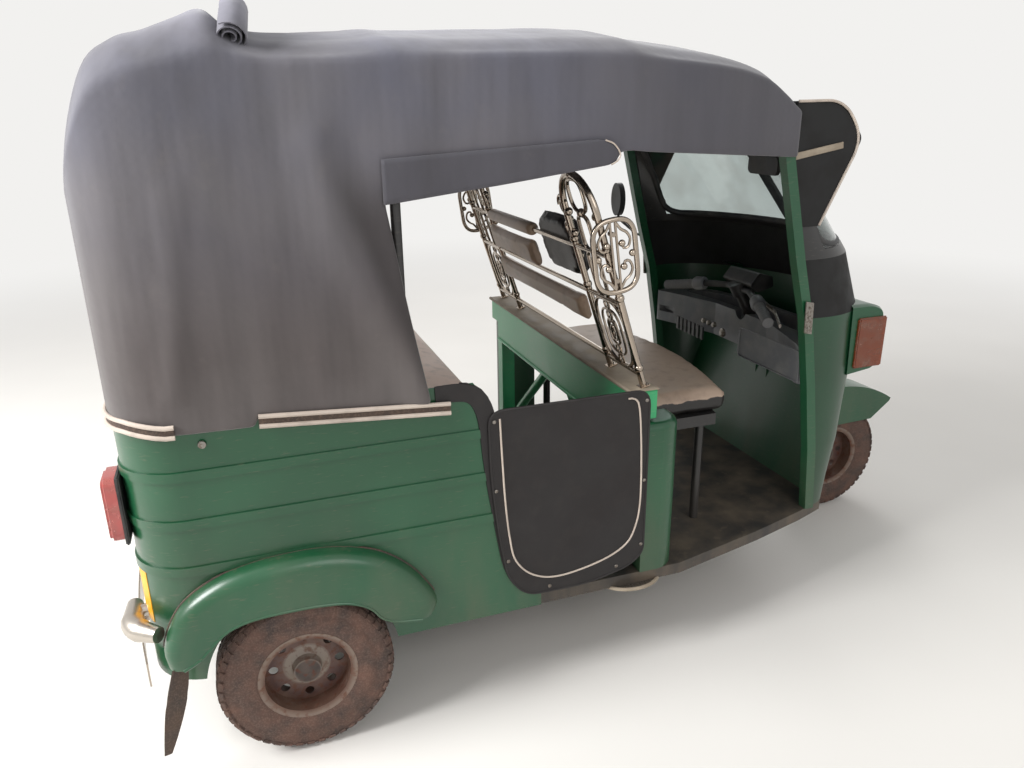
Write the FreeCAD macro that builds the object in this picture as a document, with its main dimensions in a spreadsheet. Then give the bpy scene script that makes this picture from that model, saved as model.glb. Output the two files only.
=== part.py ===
# Three-wheeled auto rickshaw with a folding canvas hood, modelled at full size in millimetres.
# +X is forwards, +Y is the vehicle's left, +Z is up; the origin is on the ground at mid length and mid width.
import FreeCAD, Part
import math
import os
import re
import Sketcher

os.makedirs("parts", exist_ok=True)
doc = FreeCAD.newDocument("AutoRickshaw")
sheet = doc.addObject("Spreadsheet::Sheet", "Sizes")
Vector = FreeCAD.Vector

# Driving dimensions: alias, value
SIZES = (
    ("wheel_base", 2000), ("front_overhang", 237.5), ("skin", 4), ("seat_gap", 0.3), ("moving_gap", 6),
    # Datum planes: the tub's is ahead of the rear axle, the nose's behind the front axle
    ("tub_datum", 920), ("nose_datum", 1080),
    # Wheels
    ("tyre_radius", 207), ("tyre_width", 105), ("bead_radius", 104), ("bead_width", 78), ("wheel_track", 1150),
    ("rim_skin", 4), ("hub_radius", 62), ("hub_length", 84), ("axle_radius", 12), ("running_gap", 0.05),
    ("rim_window_radius", 11), ("rim_window_circle", 78),
    # Steering
    ("rake", 30), ("trail", 70), ("column_radius", 20), ("head_radius", 30), ("column_top", 1000),
    ("bar_half_width", 300), ("bar_radius", 11), ("fork_offset", 96), ("fender_half_width", 64),
    # Floor and rear tub
    ("floor_height", 245), ("floor_depth", 32), ("floor_back", 620), ("tub_half_width", 600), ("tub_back", 1255), ("tub_corner", 130),
    ("belt_height", 879), ("tub_front", 435), ("rib_width", 22), ("rib_height", 4), ("bumper_bow", 62.5),
    ("lid_half_width", 400), ("lid_foot", 330), ("lid_drop", 79), ("lid_flange", 16),
    ("hinge_offset", 14), ("hinge_rise", 6), ("hinge_span", 300), ("hinge_pin", 4),
    ("fender_radius", 365), ("fender_centre", 150), ("fender_width", 50), ("fender_foot", 310), ("arch_half_width", 188), ("arch_height", 400),
    # Seats and partition
    ("deck_height", 655), ("cushion_rise", 120), ("cushion_front", 385), ("driver_seat_top", 698),
    ("driver_seat_depth", 300), ("driver_seat_half_width", 430), ("driver_seat_back", 55), ("cushion_depth", 70),
    ("beam_foot", 645), ("beam_top", 790), ("beam_depth", 68), ("partition_lean", 18), ("partition_height", 560),
    ("partition_half_width", 500), ("ladder_width", 84), ("post_radius", 9), ("scroll_radius", 5), ("rail_radius", 7),
    # Nose
    ("sill_height", 277), ("brow_height", 690), ("cowl_height", 892), ("glass_foot", 1062), ("glass_top", 1400),
    ("post_width", 30), ("dash_foot", 684), ("dash_top", 799), ("visor_half_width", 455),
    # Hood
    ("hood_half_width", 606), ("hood_top", 1652), ("hood_skin", 8), ("bow_radius", 11), ("roll_radius", 34),
)
for row, (alias, number) in enumerate(SIZES, start=1):
    sheet.set(f"A{row}", alias)
    sheet.set(f"B{row}", str(number))
    sheet.setAlias(f"B{row}", alias)
doc.recompute()


class Cells:
    """Reads a driving dimension from the sheet by its alias."""

    def __getattr__(self, alias):
        return float(sheet.get(alias))


cells = Cells()
ALIASES = {alias for alias, number in SIZES}
SIDES = (("left", 1), ("right", -1))


def bound(expression):
    """The expression with each alias written as a cell of the sheet."""
    def cell(word):
        return "Sizes." + word.group(0) if word.group(0) in ALIASES else word.group(0)
    return re.sub(r"[a-z]+(?:_[a-z]+)*", cell, str(expression))


def value(expression):
    return float(sheet.evalExpression(bound(expression)))


def new_body(label, at=("0", "0", "0")):
    body = doc.addObject("PartDesign::Body", label)
    body.Label = label
    for axis, expression in zip("xyz", at):
        body.setExpression("Placement.Base." + axis, bound(expression))
    return body


def new_sketch(body, role, lift):
    drawing = body.newObject("Sketcher::SketchObject", body.Label + "_outline")
    plane = next(item for item in body.Origin.OriginFeatures if item.Role == role)
    drawing.AttachmentSupport = [(plane, "")]
    drawing.MapMode = "FlatFace"
    drawing.setExpression("AttachmentOffset.Base.z", bound(lift))
    return drawing


def bind_point(drawing, side, end, across, along):
    for kind, expression in (("DistanceX", across), ("DistanceY", along)):
        constraint = Sketcher.Constraint(kind, -1, 1, side, end, value(expression))
        drawing.setExpression(f"Constraints[{drawing.addConstraint(constraint)}]", bound(expression))


def sketch(body, role, corners, lift="0"):
    """Closed outline bound to the sheet; a corner with four values starts an arc through the last two."""
    drawing = new_sketch(body, role, lift)
    points = [Vector(value(corner[0]), value(corner[1]), 0) for corner in corners]
    starts, ends = [], []
    for side, corner in enumerate(corners):
        start, end = points[side], points[(side + 1) % len(points)]
        if len(corner) == 4:
            drawing.addGeometry(Part.Arc(start, Vector(value(corner[2]), value(corner[3]), 0), end), False)
        else:
            drawing.addGeometry(Part.LineSegment(start, end), False)
        forwards = drawing.getPoint(side, 1).distanceToPoint(start) < drawing.getPoint(side, 2).distanceToPoint(start)
        starts.append(1 if forwards else 2)
        ends.append(2 if forwards else 1)
    for side in range(len(corners)):
        after = (side + 1) % len(corners)
        drawing.addConstraint(Sketcher.Constraint("Coincident", side, ends[side], after, starts[after]))
    for side, corner in enumerate(corners):
        bind_point(drawing, side, starts[side], corner[0], corner[1])
        if len(corner) == 4:
            drawing.addConstraint(Sketcher.Constraint("Radius", side, drawing.Geometry[side].Radius))
    return drawing


def circle_sketch(body, role, centre, radius, lift="0"):
    drawing = new_sketch(body, role, lift)
    middle = Vector(value(centre[0]), value(centre[1]), 0)
    drawing.addGeometry(Part.Circle(middle, Vector(0, 0, 1), value(radius)), False)
    bind_point(drawing, 0, 3, centre[0], centre[1])
    index = drawing.addConstraint(Sketcher.Constraint("Radius", 0, value(radius)))
    drawing.setExpression(f"Constraints[{index}]", bound(radius))
    return drawing


def feature(body, kind, profile, **sizes):
    item = body.newObject("PartDesign::" + kind, body.Label + "_" + kind.lower())
    item.Profile = profile
    for name, setting in sizes.items():
        if name in ("Length", "Angle"):
            item.setExpression(name, bound(setting))
        else:
            setattr(item, name, setting)
    doc.recompute()
    return item


def revolve(body, corners):
    """Ring about the body's Y axis from an outline of radius and axial place."""
    drawing = sketch(body, "XY_Plane", corners)
    return feature(body, "Revolution", drawing, ReferenceAxis=(drawing, ["V_Axis"]), Angle="360")


def round_edges(body, radius, chosen):
    """Fillet on the edges that the test picks."""
    base = body.Tip
    names = [f"Edge{i}" for i, edge in enumerate(base.Shape.Edges, start=1) if chosen(edge)]
    item = body.newObject("PartDesign::Fillet", body.Label + "_fillet")
    item.Base = (base, names)
    item.setExpression("Radius", bound(radius))
    doc.recompute()
    return item


def lies_along(edge, direction):
    return edge.Curve.TypeId == "Part::GeomLine" and abs(edge.Curve.Direction.dot(Vector(*direction))) > 0.999


def mirrored_pair(label, source):
    """The source and its image across the vehicle's middle plane, as one node."""
    image = doc.addObject("Part::Mirroring", label + "_image")
    image.Source = source
    image.Normal = Vector(0, 1, 0)
    both = doc.addObject("Part::MultiFuse", label)
    both.Shapes = [source, image]
    both.Label = label
    doc.recompute()
    return both


def shape_node(label, shape, placement=None):
    item = doc.addObject("Part::Feature", label)
    item.Label = label
    item.Shape = shape
    if placement:
        item.Placement = placement
    return item


def rounded_wire(points, bend, closed=False):
    """Straight runs through the points, joined by tangent arcs of the bend radius."""
    points = [Vector(*point) for point in points]
    last = len(points) - 1
    corners = []
    for i, point in enumerate(points):
        radius = bend[i] if isinstance(bend, (list, tuple)) else bend
        if radius == 0 or (not closed and i in (0, last)):
            corners.append((point, None, point))
            continue
        back = (points[i - 1] - point).normalize()
        ahead = (points[(i + 1) % len(points)] - point).normalize()
        half = back.getAngle(ahead) / 2
        reach = radius / math.tan(half)
        middle = point + (back + ahead).normalize() * (radius / math.sin(half) - radius)
        corners.append((point + back * reach, middle, point + ahead * reach))
    edges = []
    for i, (enter, middle, leave) in enumerate(corners):
        if middle:
            edges.append(Part.Arc(enter, middle, leave).toShape())
        if closed or i < last:
            following = corners[(i + 1) % len(corners)][0]
            if leave.distanceToPoint(following) > 0.001:
                edges.append(Part.LineSegment(leave, following).toShape())
    return Part.Wire(edges)


def tube(points, radius, bend=0):
    """Round bar along a path of straight runs and bends."""
    start = Vector(*points[0])
    ring = Part.Wire(Part.makeCircle(radius, start, Vector(*points[1]) - start))
    return rounded_wire(points, bend).makePipeShell([ring], True, False, 2)


def rod(start, end, radius):
    reach = Vector(*end) - Vector(*start)
    return Part.makeCylinder(radius, reach.Length, Vector(*start), reach)


def plate(points, depth, bend=0):
    """Flat outline given in space, extruded by the depth vector."""
    return Part.Face(rounded_wire(points, bend, closed=True)).extrude(Vector(*depth))


def block(low, high):
    return Part.makeBox(high[0] - low[0], high[1] - low[1], high[2] - low[2], Vector(*low))


def join(shapes):
    shapes = list(shapes)
    return shapes[0].multiFuse(shapes[1:]).removeSplitter()


def both_sides(shape):
    return [shape, shape.mirror(Vector(0, 0, 0), Vector(0, 1, 0))]


nodes = []

# Places that several pieces share
rear_overhang = "(tub_back + bumper_bow - tub_datum)"
rear_axle = f"(({rear_overhang} - wheel_base - front_overhang) / 2)"
front_axle = f"({rear_axle} + wheel_base)"
at_tub_datum = (f"{rear_axle} + tub_datum", "0", "0")
at_nose_datum = (f"{front_axle} - nose_datum", "0", "0")
stretch = "(wheel_base - tub_datum - nose_datum)"
rear_axle_x = value(rear_axle)
front_axle_x = value(front_axle)
axle_z = cells.tyre_radius
wheel_y = cells.wheel_track / 2
floor_top = cells.floor_height + cells.floor_depth
rake = math.radians(cells.rake)
steering_axis = Vector(-math.sin(rake), 0, math.cos(rake))
steering_front = Vector(math.cos(rake), 0, math.sin(rake))
steering_foot = Vector(cells.nose_datum + cells.trail, 0, 0)
tub_place = FreeCAD.Placement(Vector(value(at_tub_datum[0]), 0, 0), FreeCAD.Rotation())
nose_place = FreeCAD.Placement(Vector(value(at_nose_datum[0]), 0, 0), FreeCAD.Rotation())
cab_stretch = value(stretch)
lid_head = "(belt_height - lid_drop)"
hinge_height = f"({lid_head} + hinge_rise)"
cushion_top = "(deck_height + cushion_rise)"


def on_steering(along, ahead=0, side=0):
    """Point at a distance up the steering axis, ahead of it and to its left."""
    return tuple(steering_foot + steering_axis * along + steering_front * ahead + Vector(0, side, 0))


# Wheels
def make_tyre(label, at):
    body = new_body(label, at)
    half, seat = "tyre_width / 2", "bead_width / 2"
    half_outline = [("tyre_radius", f"{half} - 28"), ("tyre_radius - 6", f"{half} - 12"), ("tyre_radius - 22", half),
                    ("bead_radius + 42", half), ("bead_radius + 12", f"{seat} + 4"), ("bead_radius", seat)]
    well = [("bead_radius", f"{seat} - 10"), ("bead_radius + 10", f"{seat} - 14")]
    near = [(radius, f"-({along})") for radius, along in half_outline + well]
    revolve(body, half_outline + well + near[::-1])
    return body


def make_rim(label, at, outward):
    """Steel rim with its drum on the inboard side, a closed hub cap and a ring of hand holes."""
    body = new_body(label, at)
    bore = "axle_radius + running_gap"
    corners = [(bore, "-hub_length / 2"), ("hub_radius", "-hub_length / 2"), ("hub_radius", "-rim_skin"),
               ("bead_radius - rim_skin", "-rim_skin"), ("bead_radius - rim_skin", "-bead_width / 2 - 5"),
               ("bead_radius + 12", "-bead_width / 2 - 9"), ("bead_radius + 12", "-bead_width / 2 - 5"),
               ("bead_radius - seat_gap", "-bead_width / 2 - 1"), ("bead_radius - seat_gap", "bead_width / 2 + 1"),
               ("bead_radius + 12", "bead_width / 2 + 5"), ("bead_radius + 12", "bead_width / 2 + 9"),
               ("bead_radius - rim_skin", "bead_width / 2 + 5"), ("bead_radius - rim_skin", "0"),
               ("hub_radius - 8", "0"), ("hub_radius - 26", "10"), ("hub_radius - 30", "28"), ("0", "32"),
               ("0", "24"), (bore, "24")]
    revolve(body, [(radius, f"({outward}) * ({along})") for radius, along in corners])
    hole = circle_sketch(body, "XZ_Plane", ("rim_window_circle", "0"), "rim_window_radius")
    pocket = feature(body, "Pocket", hole, Length="rim_skin * 4", Midplane=True)
    pattern = body.newObject("PartDesign::PolarPattern", label + "_holes")
    pattern.Originals = [pocket]
    pattern.Axis = (hole, ["N_Axis"])
    pattern.Angle = 360
    pattern.Occurrences = 8
    body.Tip = pattern
    doc.recompute()
    return body


for side, sign in SIDES:
    place = (rear_axle, f"({sign}) * wheel_track / 2", "tyre_radius")
    nodes.append(make_tyre("rear_tyre_" + side, place))
    nodes.append(make_rim("rear_wheel_" + side, place, sign))
nodes.append(make_tyre("front_tyre", (front_axle, "0", "tyre_radius")))
nodes.append(make_rim("front_wheel", (front_axle, "0", "tyre_radius"), -1))


# Steering
def make_steering_column():
    """Column, cranked one-sided arm, leading link and stub axle for the front wheel."""
    arm = cells.fork_offset
    axle_along = cells.trail * math.sin(rake) + axle_z * math.cos(rake)
    pivot = on_steering(axle_along + 6, -48, arm)
    axle = Vector(cells.nose_datum, arm, axle_z)
    drum_face = cells.hub_length / 2 + cells.moving_gap
    pieces = [
        rod(on_steering(530), on_steering(cells.column_top), cells.column_radius),
        tube([on_steering(575), on_steering(540), on_steering(500, 0, arm), pivot], 18, 24),
        rod(tuple(Vector(*pivot) - Vector(0, 24, 0)), tuple(Vector(*pivot) + Vector(0, 24, 0)), 24),
        rod(pivot, tuple(axle), 15),
        rod((axle.x, drum_face, axle.z), (axle.x, arm + 20, axle.z), 22),
        rod((axle.x, -20, axle.z), (axle.x, arm, axle.z), cells.axle_radius),
        rod(on_steering(436, -6, cells.fender_half_width), on_steering(436, -6, arm), 9),
        rod(on_steering(430, -9, arm + 34), on_steering(axle_along + 16, 24, arm + 34), 17),
        rod(on_steering(430, -9, arm), on_steering(430, -9, arm + 48), 9),
        rod(on_steering(axle_along + 16, 24, arm), on_steering(axle_along + 16, 24, arm + 48), 9),
    ]
    return shape_node("steering_column", join(pieces), nose_place)


def make_handlebar():
    """Swept-back tube in a clamp on the column's head, with the instrument head in front."""
    middle = Vector(*on_steering(cells.column_top + 22))
    half = cells.bar_half_width
    path = [middle + Vector(-0.33 * half, half, -0.13 * half), middle + Vector(-0.117 * half, 0.5 * half, -0.03 * half),
            middle + Vector(0, 0.2 * half, 0)]
    path += [Vector(point.x, -point.y, point.z) for point in path[::-1]]
    pieces = [tube([tuple(point) for point in path], cells.bar_radius, 28)]
    pieces.append(rod(on_steering(cells.column_top), on_steering(cells.column_top + 46), 27))
    head = [tuple(middle + Vector(x, -80, z)) for x, z in ((-12, 24), (20, 62), (74, 48), (80, 14), (20, -2))]
    pieces.append(plate(head, (0, 160, 0), 9))
    return shape_node("handlebar", join(pieces), nose_place)


def make_front_fender():
    """Pressed fender that follows the tyre and ends in a beak, open below."""
    body = new_body("front_fender", (front_axle, "0", "tyre_radius"))
    tip = "front_overhang"
    outline = [("-tyre_radius - 24", "60", "-170", "200"), ("-20", "tyre_radius + 76", "130", "262"),
               (tip, "211"), (f"{tip} - 4", "200"), ("tyre_radius - 52", "138"), ("-tyre_radius + 50", "128"),
               ("-tyre_radius - 10", "60")]
    feature(body, "Pad", sketch(body, "XZ_Plane", outline), Length="fender_half_width * 2", Midplane=True)
    inner = [("-tyre_radius - 21", "40", "-166", "196"), ("-20", "tyre_radius + 73", "128", "258"),
             (f"{tip} - 8", "206"), (f"{tip} - 8", "40")]
    feature(body, "Pocket", sketch(body, "XZ_Plane", inner), Length="(fender_half_width - 3) * 2", Midplane=True)
    return body


nodes += [make_steering_column(), make_handlebar(), make_front_fender()]


# Floor and rear tub
def make_floor_pan():
    body = new_body("floor_pan", at_tub_datum)
    edge = "tub_half_width - skin"
    right = [("-floor_back", edge)]
    right += [(f"{along} + {stretch}", across) for along, across in ((95, edge), (400, 525), (600, 468), (706, 430))]
    outline = right + [(along, f"-({across})") for along, across in right[::-1]]
    feature(body, "Pad", sketch(body, "XY_Plane", outline, "floor_height"), Length="floor_depth")
    return body


def tub_outline(outward, front):
    """Plan of the tub's wall, moved outwards, with round rear corners."""
    half, back, corner = f"(tub_half_width + {outward})", f"(tub_back + {outward})", f"(tub_corner + {outward})"
    turn = f"{corner} * (1 - sqrt(0.5))"
    wall = f"(skin + {outward})"
    deep, inner, bend = f"({half} - {wall})", f"({back} - {wall})", f"({corner} - {wall})"
    fold = f"{bend} * (1 - sqrt(0.5))"
    return [(front, f"-{half}"), (f"-{back} + {corner}", f"-{half}", f"-{back} + {turn}", f"-{half} + {turn}"),
            (f"-{back}", f"-{half} + {corner}"),
            (f"-{back}", f"{half} - {corner}", f"-{back} + {turn}", f"{half} - {turn}"),
            (f"-{back} + {corner}", half), (front, half), (front, deep),
            (f"-{inner} + {bend}", deep, f"-{inner} + {fold}", f"{deep} - {fold}"),
            (f"-{inner}", f"{deep} - {bend}"),
            (f"-{inner}", f"-{deep} + {bend}", f"-{inner} + {fold}", f"-{deep} + {fold}"),
            (f"-{inner} + {bend}", f"-{deep}"), (front, f"-{deep}")]


def make_rear_body():
    """Pressed tub with round corners, three swages, wheel arches, entrances and the engine opening."""
    body = new_body("rear_body", at_tub_datum)
    wall = sketch(body, "XY_Plane", tub_outline("0", "-320"), "floor_height")
    feature(body, "Pad", wall, Length="belt_height - floor_height")
    low_swage = "(fender_centre + fender_radius + rib_width / 2 + 1)"
    for share in (0, 0.32, 0.64):
        level = f"{low_swage} * (1 - {share}) + belt_height * {share}"
        swage = sketch(body, "XY_Plane", tub_outline("rib_height", "-320"), f"{level} - rib_width / 2")
        feature(body, "Pad", swage, Length="rib_width")
    entrance = [("-tub_front - 52", "belt_height + 5"), ("-tub_front - 52", "belt_height"),
                ("-tub_front - 12", "belt_height - 69"), ("-tub_front + 20", "567"), ("-tub_front + 44", "394"),
                ("-tub_front + 112", "298"), ("-300", "298"), ("-300", "belt_height + 5")]
    feature(body, "Pocket", sketch(body, "XZ_Plane", entrance), Length="tub_half_width * 3", Midplane=True)
    arch = circle_sketch(body, "XZ_Plane", ("-tub_datum", "tyre_radius"), "tyre_radius + 3 * moving_gap")
    feature(body, "Pocket", arch, Length="tub_half_width * 3", Midplane=True)
    opening = [(f"{sign} * lid_half_width", level) for sign, level in
               ((-1, "lid_foot"), (1, "lid_foot"), (1, lid_head), (-1, lid_head))]
    feature(body, "Pocket", sketch(body, "YZ_Plane", opening, "-tub_back"), Length="80", Midplane=True)
    hinge = "-tub_back - hinge_offset"
    for side, sign in SIDES:
        ear = [(f"{sign} * {across}", f"{hinge_height} + {rise}") for across, rise in
               (("hinge_span", -5), ("(hinge_span + 16)", -5), ("(hinge_span + 16)", 5), ("hinge_span", 5))]
        feature(body, "Pad", sketch(body, "YZ_Plane", ear, hinge), Length="hinge_offset")
        pin = circle_sketch(body, "XZ_Plane", (hinge, hinge_height), "hinge_pin", f"-({sign}) * (hinge_span + 16)")
        feature(body, "Pad", pin, Length="34", Reversed=sign > 0)
    return body


def make_engine_lid():
    """Top-hung lid with a return flange, louvres and two hinge eyes."""
    half = cells.lid_half_width - cells.moving_gap
    low, high = cells.lid_foot + cells.moving_gap, value(lid_head) - cells.moving_gap
    face = -cells.tub_back - 3
    flange = face + cells.skin + cells.lid_flange
    lid = block((face, -half, low), (flange, half, high))
    lid = lid.cut(block((face + cells.skin, -half + 3, low + 3), (flange + 1, half - 3, high - 3)))
    for row in range(6):
        for sign in (-1, 1):
            level = low + (high - low) * (0.2 + 0.11 * row)
            lid = lid.cut(block((face - 1, sign * 180 - 130, level), (face + 5, sign * 180 + 130, level + 10)))
            hood = [(face, sign * 180 - 130, level + 10), (face - 9, sign * 180 - 130, level),
                    (face - 9, sign * 180 - 130, level + 2), (face, sign * 180 - 130, level + 13)]
            lid = lid.fuse(plate(hood, (0, 260, 0)))
    axis_x, axis_height = -cells.tub_back - cells.hinge_offset, value(hinge_height)
    for sign in (-1, 1):
        inner, outer = sorted((sign * (cells.hinge_span + 20), sign * (cells.hinge_span + 46)))
        eye = rod((axis_x, inner, axis_height), (axis_x, outer, axis_height), 8)
        strap = [(axis_x - 8, inner, axis_height), (axis_x - 8, inner, high - 40), (face, inner, high - 40),
                 (face, inner, high - 12), (axis_x, inner, axis_height - 4)]
        eye = eye.fuse(plate(strap, (0, outer - inner, 0)))
        bore = rod((axis_x, inner - 1, axis_height), (axis_x, outer + 1, axis_height),
                   cells.hinge_pin + cells.running_gap)
        lid = lid.fuse(eye.cut(bore))
    return shape_node("engine_lid", lid.removeSplitter(), tub_place)


def make_rear_fender():
    """Half of the pair of arched fenders: outer face with the wheel opening, and a curved top."""
    body = new_body("rear_fender_source", (rear_axle, "-tub_half_width", "0"))
    half = "sqrt(fender_radius ^ 2 - (fender_foot - fender_centre) ^ 2)"
    outline = [(f"12 - {half}", "fender_foot", "12", "fender_centre + fender_radius"),
               (f"12 + {half}", "fender_foot"),
               ("arch_half_width", "fender_foot + 16", "arch_half_width - 22", "arch_height - 18"),
               ("arch_half_width - 78", "arch_height"),
               ("-arch_half_width + 78", "arch_height", "-arch_half_width + 22", "arch_height - 18"),
               ("-arch_half_width", "fender_foot + 16")]
    feature(body, "Pad", sketch(body, "XZ_Plane", outline), Length="fender_width")
    round_edges(body, "7", lambda edge: edge.Curve.TypeId == "Part::GeomCircle" and edge.Curve.Radius > 300
                and edge.CenterOfMass.y < -10)
    low = "fender_foot - 40"
    deep = "sqrt((fender_radius - 3) ^ 2 - (fender_foot - 40 - fender_centre) ^ 2)"
    inner = [(f"12 - {deep}", low, "12", "fender_centre + fender_radius - 3"), (f"12 + {deep}", low)]
    feature(body, "Pocket", sketch(body, "XZ_Plane", inner), Length="(fender_width - 3)", Reversed=True)
    return body


nodes += [make_floor_pan(), make_rear_body(), make_engine_lid()]
nodes.append(mirrored_pair("rear_fenders", make_rear_fender()))


# Seats
def make_seat_deck():
    """Deck over the engine with the panel below its front edge."""
    body = new_body("seat_deck", at_tub_datum)
    front, back = "-tub_front + 5", "-tub_back + skin"
    outline = [(front, "floor_height + floor_depth"), (front, "deck_height"), (back, "deck_height"),
               (back, "deck_height - skin"), (f"{front} - skin", "deck_height - skin"),
               (f"{front} - skin", "floor_height + floor_depth")]
    feature(body, "Pad", sketch(body, "XZ_Plane", outline), Length="(tub_half_width - skin) * 2", Midplane=True)
    round_edges(body, "tub_corner - skin", lambda edge: lies_along(edge, (0, 0, 1)) and edge.CenterOfMass.x < -1000)
    half, deep = "(lid_half_width + moving_gap)", "-tub_back + 2 * skin + lid_flange"
    notch = [("-tub_back", f"-{half}"), (deep, f"-{half}"), (deep, half), ("-tub_back", half)]
    feature(body, "Pocket", sketch(body, "XY_Plane", notch, "deck_height + 1"), Length="2 * skin")
    return body


def make_cushion(label, outline, half_width, radius):
    body = new_body(label, at_tub_datum)
    feature(body, "Pad", sketch(body, "XZ_Plane", outline), Length=f"({half_width}) * 2", Midplane=True)
    round_edges(body, radius, lambda edge: lies_along(edge, (0, 1, 0)))
    return body


passenger_seat = [("-1005", "deck_height"), ("-cushion_front - 14", "deck_height"), ("-cushion_front", cushion_top),
                  ("-1005", f"{cushion_top} - 10")]
passenger_back = [("-1010", "deck_height"), ("-1095", "1190"), ("-1165", "1190"), ("-1120", "deck_height")]
nodes.append(make_seat_deck())
nodes.append(make_cushion("passenger_cushion", passenger_seat, "tub_half_width - 20", "28"))
nodes.append(make_cushion("passenger_backrest", passenger_back, "tub_half_width - 62", "28"))


def driver_outline(inset):
    half, back = f"(driver_seat_half_width - {inset})", f"(driver_seat_back + {inset})"
    front = f"(driver_seat_back + driver_seat_depth - {inset})"
    return [(back, f"-{half}"), (f"{front} - 45", f"-{half}", f"{front}", "0"), (f"{front} - 45", half), (back, half)]


def make_driver_cushion():
    body = new_body("driver_cushion", at_nose_datum)
    drawing = sketch(body, "XY_Plane", driver_outline("0"), "driver_seat_top - cushion_depth")
    feature(body, "Pad", drawing, Length="cushion_depth")
    round_edges(body, "16", lambda edge: edge.CenterOfMass.z > cells.driver_seat_top - 1)
    return body


def make_seat_stand():
    """Pressed tray below the driver's cushion on four tube legs."""
    body = new_body("seat_stand", at_nose_datum)
    under = "driver_seat_top - cushion_depth - 34"
    feature(body, "Pad", sketch(body, "XY_Plane", driver_outline("12"), under), Length="34")
    for along in ("driver_seat_back + 35", "driver_seat_back + driver_seat_depth - 85"):
        for sign in (-1, 1):
            leg = circle_sketch(body, "XY_Plane", (along, f"{sign} * (driver_seat_half_width - 50)"), "13",
                                "floor_height + floor_depth")
            feature(body, "Pad", leg, Length=f"{under} - floor_height - floor_depth")
    return body


nodes += [make_driver_cushion(), make_seat_stand()]


# Bulkhead behind the driver
def make_side_bulge():
    """Pressed box beside the driver's seat with a round front corner."""
    body = new_body("side_bulge_source", at_nose_datum)
    outer, inner = "-tub_half_width", "-tub_half_width + 96"
    outline = [("-33", outer), ("20", outer, "68", "-tub_half_width + 22"), ("88", "-tub_half_width + 75"),
               ("88", inner), ("-33", inner)]
    feature(body, "Pad", sketch(body, "XY_Plane", outline, "floor_height + floor_depth"), Length="428")
    round_edges(body, "20", lambda edge: edge.CenterOfMass.z > 704 and edge.CenterOfMass.x > -30
                and edge.CenterOfMass.y < -cells.tub_half_width + 80)
    return body


def make_bulkhead():
    """Folded beam on two legs, with a diagonal stay below it."""
    body = new_body("bulkhead", at_nose_datum)
    half, back = "(tub_half_width - 96)", "10 - beam_depth"
    outline = [(back, f"-{half}"), ("10", f"-{half}"), ("10", half), (back, half)]
    feature(body, "Pad", sketch(body, "XY_Plane", outline, "beam_foot"), Length="beam_top - beam_foot")
    for sign in (-1, 1):
        leg = [(along, f"{sign} * ({half} - {deep})") for along, deep in ((back, 0), ("-10", 0), ("-10", 42), (back, 42))]
        drawing = sketch(body, "XY_Plane", leg, "floor_height + floor_depth")
        feature(body, "Pad", drawing, Length="beam_foot - floor_height - floor_depth")
    return body


def make_guard_panel():
    """Screwed panel over the entrance, clear of the tub's swages."""
    body = new_body("guard_panel", (at_tub_datum[0], "-tub_half_width - rib_height - seat_gap", "0"))
    front = f"-20 + {stretch}"
    outline = [("-452", "806"), (front, "806"), (front, "291"), ("-285", "291"), ("-400", "440")]
    feature(body, "Pad", sketch(body, "XZ_Plane", outline), Length="5")
    round_edges(body, "45", lambda edge: lies_along(edge, (0, 1, 0)) and edge.CenterOfMass.z < 500)
    return body


def make_foot_step():
    body = new_body("foot_step", (f"{at_nose_datum[0]} - 45", "-tub_half_width + 40", "floor_height"))
    outline = [("-85", "40"), ("-85", "0", "0", "-62"), ("85", "0"), ("85", "40")]
    feature(body, "Pad", sketch(body, "XY_Plane", outline), Length="6", Reversed=True)
    return body


nodes.append(mirrored_pair("side_bulges", make_side_bulge()))
nodes += [make_bulkhead(), make_guard_panel(), make_foot_step()]


# Partition behind the driver: local Y across, local Z up the lean
partition_place = FreeCAD.Placement(Vector(nose_place.Base.x - 16, 0, cells.beam_top),
                                    FreeCAD.Rotation(Vector(0, 1, 0), -cells.partition_lean))
ladder_inner = cells.partition_half_width - cells.ladder_width
partition_rails = (40, 235, 385)


def oval_link(centre, half_height, half_width, radius):
    """Upright long ring of round bar facing along X."""
    low, high = centre.z - half_height, centre.z + half_height
    corners = [(centre.x, centre.y - half_width, low), (centre.x, centre.y - half_width, high),
               (centre.x, centre.y + half_width, high), (centre.x, centre.y + half_width, low)]
    path = rounded_wire(corners, half_width - 0.01, closed=True)
    ring = Part.Wire(Part.makeCircle(radius, path.Edges[0].valueAt(path.Edges[0].FirstParameter),
                                     path.Edges[0].tangentAt(path.Edges[0].FirstParameter)))
    return path.makePipeShell([ring], True, False, 2)


def scroll_panel(low, high, half_width, thin):
    """Two ovals, one inside the other, held apart by small rings, between two rails of a ladder."""
    middle, half = (low + high) / 2, (high - low) / 2
    nest, slim = 6 * thin, 0.7 * thin
    pieces = [oval_link(Vector(0, 0, middle), half, half_width, thin),
              oval_link(Vector(0, 0, middle), half - nest, half_width - 0.5 * nest, slim)]
    gap = nest - thin - slim
    for sign in (-1, 1):
        centre = Vector(0, 0, middle + sign * (half - thin - gap / 2))
        pieces.append(Part.makeTorus(gap / 2 + 0.7 - slim, slim, centre, Vector(1, 0, 0)))
    return pieces


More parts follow.
